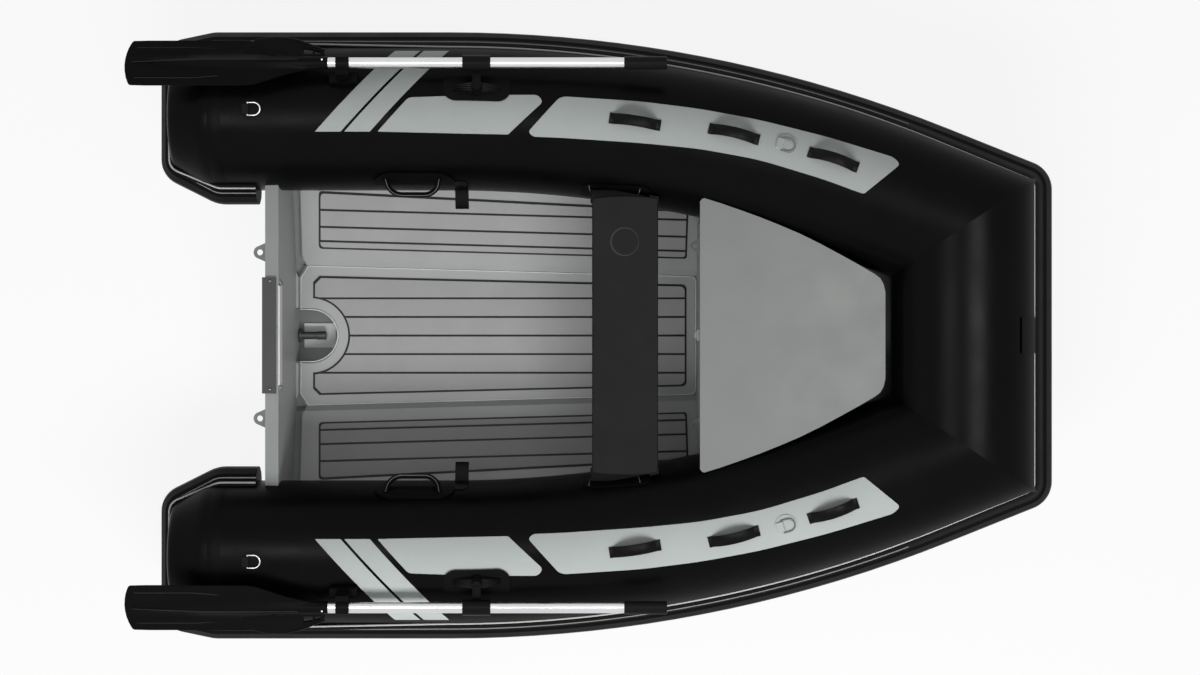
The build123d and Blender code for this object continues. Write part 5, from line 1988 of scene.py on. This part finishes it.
        # Thin grey rods on the ribs and spine: painted highlights
        ribs = joined(f"blade_ribs_{name}", [
            rod(f"blade_rib_{name}_{i}", rounded_path([Vector(p) for p in line], 0.02), 0.0011, resolution=3)
            for i, line in enumerate(self.crest_highlights)])
        lean = Matrix.Translation((0, self.y, self.z)) @ Matrix.Rotation(math.radians(-self.tilt_deg), 4, "X")
        for piece in (blade, ribs):
            piece.data.transform(lean)
        rivet = lathe(f"rivet_{name}", self.rivet,
                      Matrix.Translation((-0.7736, self.y + 0.0075, self.z + 0.0163)), 16)
        pieces = [blade, rivet, ribs]
        if side is Side.STARBOARD:
            pieces = [mirrored(piece, f"{piece.name}_side") for piece in pieces]
            for piece in (blade, rivet, ribs):
                bpy.data.objects.remove(piece)
        blade, rivet, ribs = pieces
        dress(ribs, BLADE_PAINTED_HIGHLIGHT, f"{name}_oar")
        dress(rivet, STEEL, f"{name}_oar")
        dress(blade, BLADE_NYLON, f"{name}_oar", [f"oar_blade_{name}"])


# ------------------------------------------------------------------ carried-over nodes
CAD_FINISHES: dict[str, Finish] = {
    "hull": HULL_COAT, "transom": HULL_COAT, "keel_guard": FITTING_NYLON,
    "deck_port": DECK_COAT, "deck_starboard": DECK_COAT,
    "drain_well": WELL_COAT,
    "strake_port": STRAKE_RUBBER, "strake_bow": STRAKE_RUBBER, "strake_starboard": STRAKE_RUBBER,
    "locker_bulkhead": DECK_COAT,
    # The locker box is near black: painted shade for the dark band round the lid
    "locker_box": FITTING_NYLON, "locker_lid": LID_COAT, "lid_hinges": STEEL, "locker_latch": FITTING_COAT,
    "motor_pad": MOTOR_PAD_PLASTIC, "transom_cap": MOTOR_PAD_PLASTIC,
    "bow_pad": MOULDED_RUBBER, "oar_clips": MOULDED_RUBBER,
    "oarlock_port": FITTING_NYLON, "oarlock_starboard": FITTING_NYLON,
    "oar_shaft_port": OAR_METAL, "oar_shaft_starboard": OAR_METAL,
    "oar_grip_port": GRIP_VINYL, "oar_grip_starboard": GRIP_VINYL,
}


def dress_cad() -> None:
    """Give every shown CAD node its finish."""
    for name, finish in CAD_FINISHES.items():
        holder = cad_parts[name]
        slots = holder.material_slots
        if not slots:
            holder.data.materials.append(finish.material())
            continue
        for slot in slots:
            slot.link = "OBJECT"
            slot.material = finish.material()


# ------------------------------------------------------------------ studio
@dataclass
class Studio:
    """Pale floor at the waterline, soft lamps and the camera."""

    camera_at: Point = (-0.0176, -0.0059, 7.26)
    lens: float = 74.64
    sky: float = 0.30
    floor_half: float = 9.0
    floor_glow: float = 0.88  # share of plain white in what is seen of the floor; the rest keeps the shadow
    hole: Plan = field(default_factory=lambda: [
        (-0.93, -0.20), (0.10, -0.20), (0.40, -0.10), (0.60, -0.03), (0.60, 0.03), (0.40, 0.10), (0.10, 0.20),
        (-0.93, 0.20)])

    @staticmethod
    def seen(tree: bpy.types.NodeTree) -> bpy.types.NodeSocket:
        """Tell the rays that see a background from those that light the boat.

        Args:
            tree: Tree that gets the nodes.

        Returns:
            A socket that is one for what the camera, gloss and glass see, and else zero.
        """
        rays = add_node(tree, "ShaderNodeLightPath").outputs
        seen = rays["Is Camera Ray"]
        for kind in ("Is Glossy Ray", "Is Transmission Ray"):
            seen = add_node(tree, "ShaderNodeMath", {0: seen, 1: rays[kind]}, operation="MAXIMUM").outputs[0]
        return seen

    def floor(self) -> None:
        """Lay the floor round the hull at the waterline."""
        size = self.floor_half
        corners = [(-size, -size), (size, -size), (size, size), (-size, size)]
        floor = from_bmesh("studio_floor", filled([corners, self.hole]))
        paper = bpy.data.materials.new("studio_paper")
        paper.use_nodes = True
        tree = paper.node_tree
        tree.nodes.clear()
        share = add_node(tree, "ShaderNodeMath", {0: self.seen(tree), 1: self.floor_glow},
                         operation="MULTIPLY")
        glow = add_node(tree, "ShaderNodeEmission", {"Color": (1, 1, 1, 1), "Strength": 1.0})
        matt = add_node(tree, "ShaderNodeBsdfDiffuse", {"Color": (0.9, 0.9, 0.9, 1)})
        mix = add_node(tree, "ShaderNodeMixShader", {
            0: share.outputs[0], 1: matt.outputs[0], 2: glow.outputs[0]})
        add_node(tree, "ShaderNodeOutputMaterial", {"Surface": mix.outputs[0]})
        floor.data.materials.append(paper)

    def world(self) -> None:
        """Set an even dim sky, white to the camera and in what gloss and glass show."""
        world = bpy.data.worlds.new("studio_world")
        bpy.context.scene.world = world
        world.use_nodes = True
        tree = world.node_tree
        tree.nodes.clear()
        power = add_node(tree, "ShaderNodeMapRange", {
            "Value": self.seen(tree), "To Min": self.sky, "To Max": 1.0})
        sky = add_node(tree, "ShaderNodeBackground", {
            "Color": (1, 1, 1, 1), "Strength": power.outputs["Result"]})
        add_node(tree, "ShaderNodeOutputWorld", {"Surface": sky.outputs[0]})

    def lamp(self, name: str, place: Point, aim: Point, size: tuple[float, float], power: float,
             in_gloss: bool = True, in_matt: bool = True) -> None:
        """Hang one rectangular lamp.

        Args:
            name: Lamp name.
            place: Where it hangs.
            aim: What it points at.
            size: Its two sides.
            power: Watts.
            in_gloss: Whether glossy surfaces mirror it.
            in_matt: Whether it lights matt surfaces.
        """
        light = bpy.data.lights.new(name, "AREA")
        light.shape = "RECTANGLE"
        light.size, light.size_y = size
        light.energy = power
        holder = linked(name, light)
        holder.location = place
        holder.rotation_euler = (Vector(aim) - Vector(place)).to_track_quat("-Z", "Y").to_euler()
        holder.visible_glossy = in_gloss
        holder.visible_diffuse = in_matt

    def camera(self) -> None:
        """Set the camera straight above the boat."""
        data = bpy.data.cameras.new("studio_camera")
        data.lens = self.lens
        data.sensor_width = 36.0
        data.clip_end = 60
        holder = linked("studio_camera", data)
        holder.location = self.camera_at
        bpy.context.scene.camera = holder

    def build(self) -> None:
        """Make the whole studio."""
        self.camera()
        self.floor()
        self.world()
        self.lamp("bow_strip", (1.75, 0.0, 4.6), (0.9, 0, 0.4), (0.8, 1.5), 78, in_matt=False)
        self.lamp("stern_strip", (-1.5, 0.0, 4.6), (-1.0, 0, 0.4), (0.6, 1.5), 42, in_matt=False)
        self.lamp("starboard_key", (0.0, -3.1, 3.6), (0, 0, 0.1), (4.0, 1.4), 172, in_gloss=False)
        bpy.context.scene.view_settings.view_transform = "Standard"


def main() -> None:
    """Build the dressed boat piece by piece."""
    logging.basicConfig(level=logging.INFO, format="%(message)s")
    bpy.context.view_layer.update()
    for part in (Studio, Chambers, StepPatches, GrabStraps, GrabHandles, LashingTabs, DRings, StrakeLine,
                 CentreDeck, DeckPads, DrainFittings, MotorMount, OarlockPads, TransomFacing, TowEyes,
                 TieEyes, BenchBrackets, Bench):
        part().build()
    for side in Side:
        OarBlade().build(side)
    dress_cad()


if __name__ == "__main__":
    main()
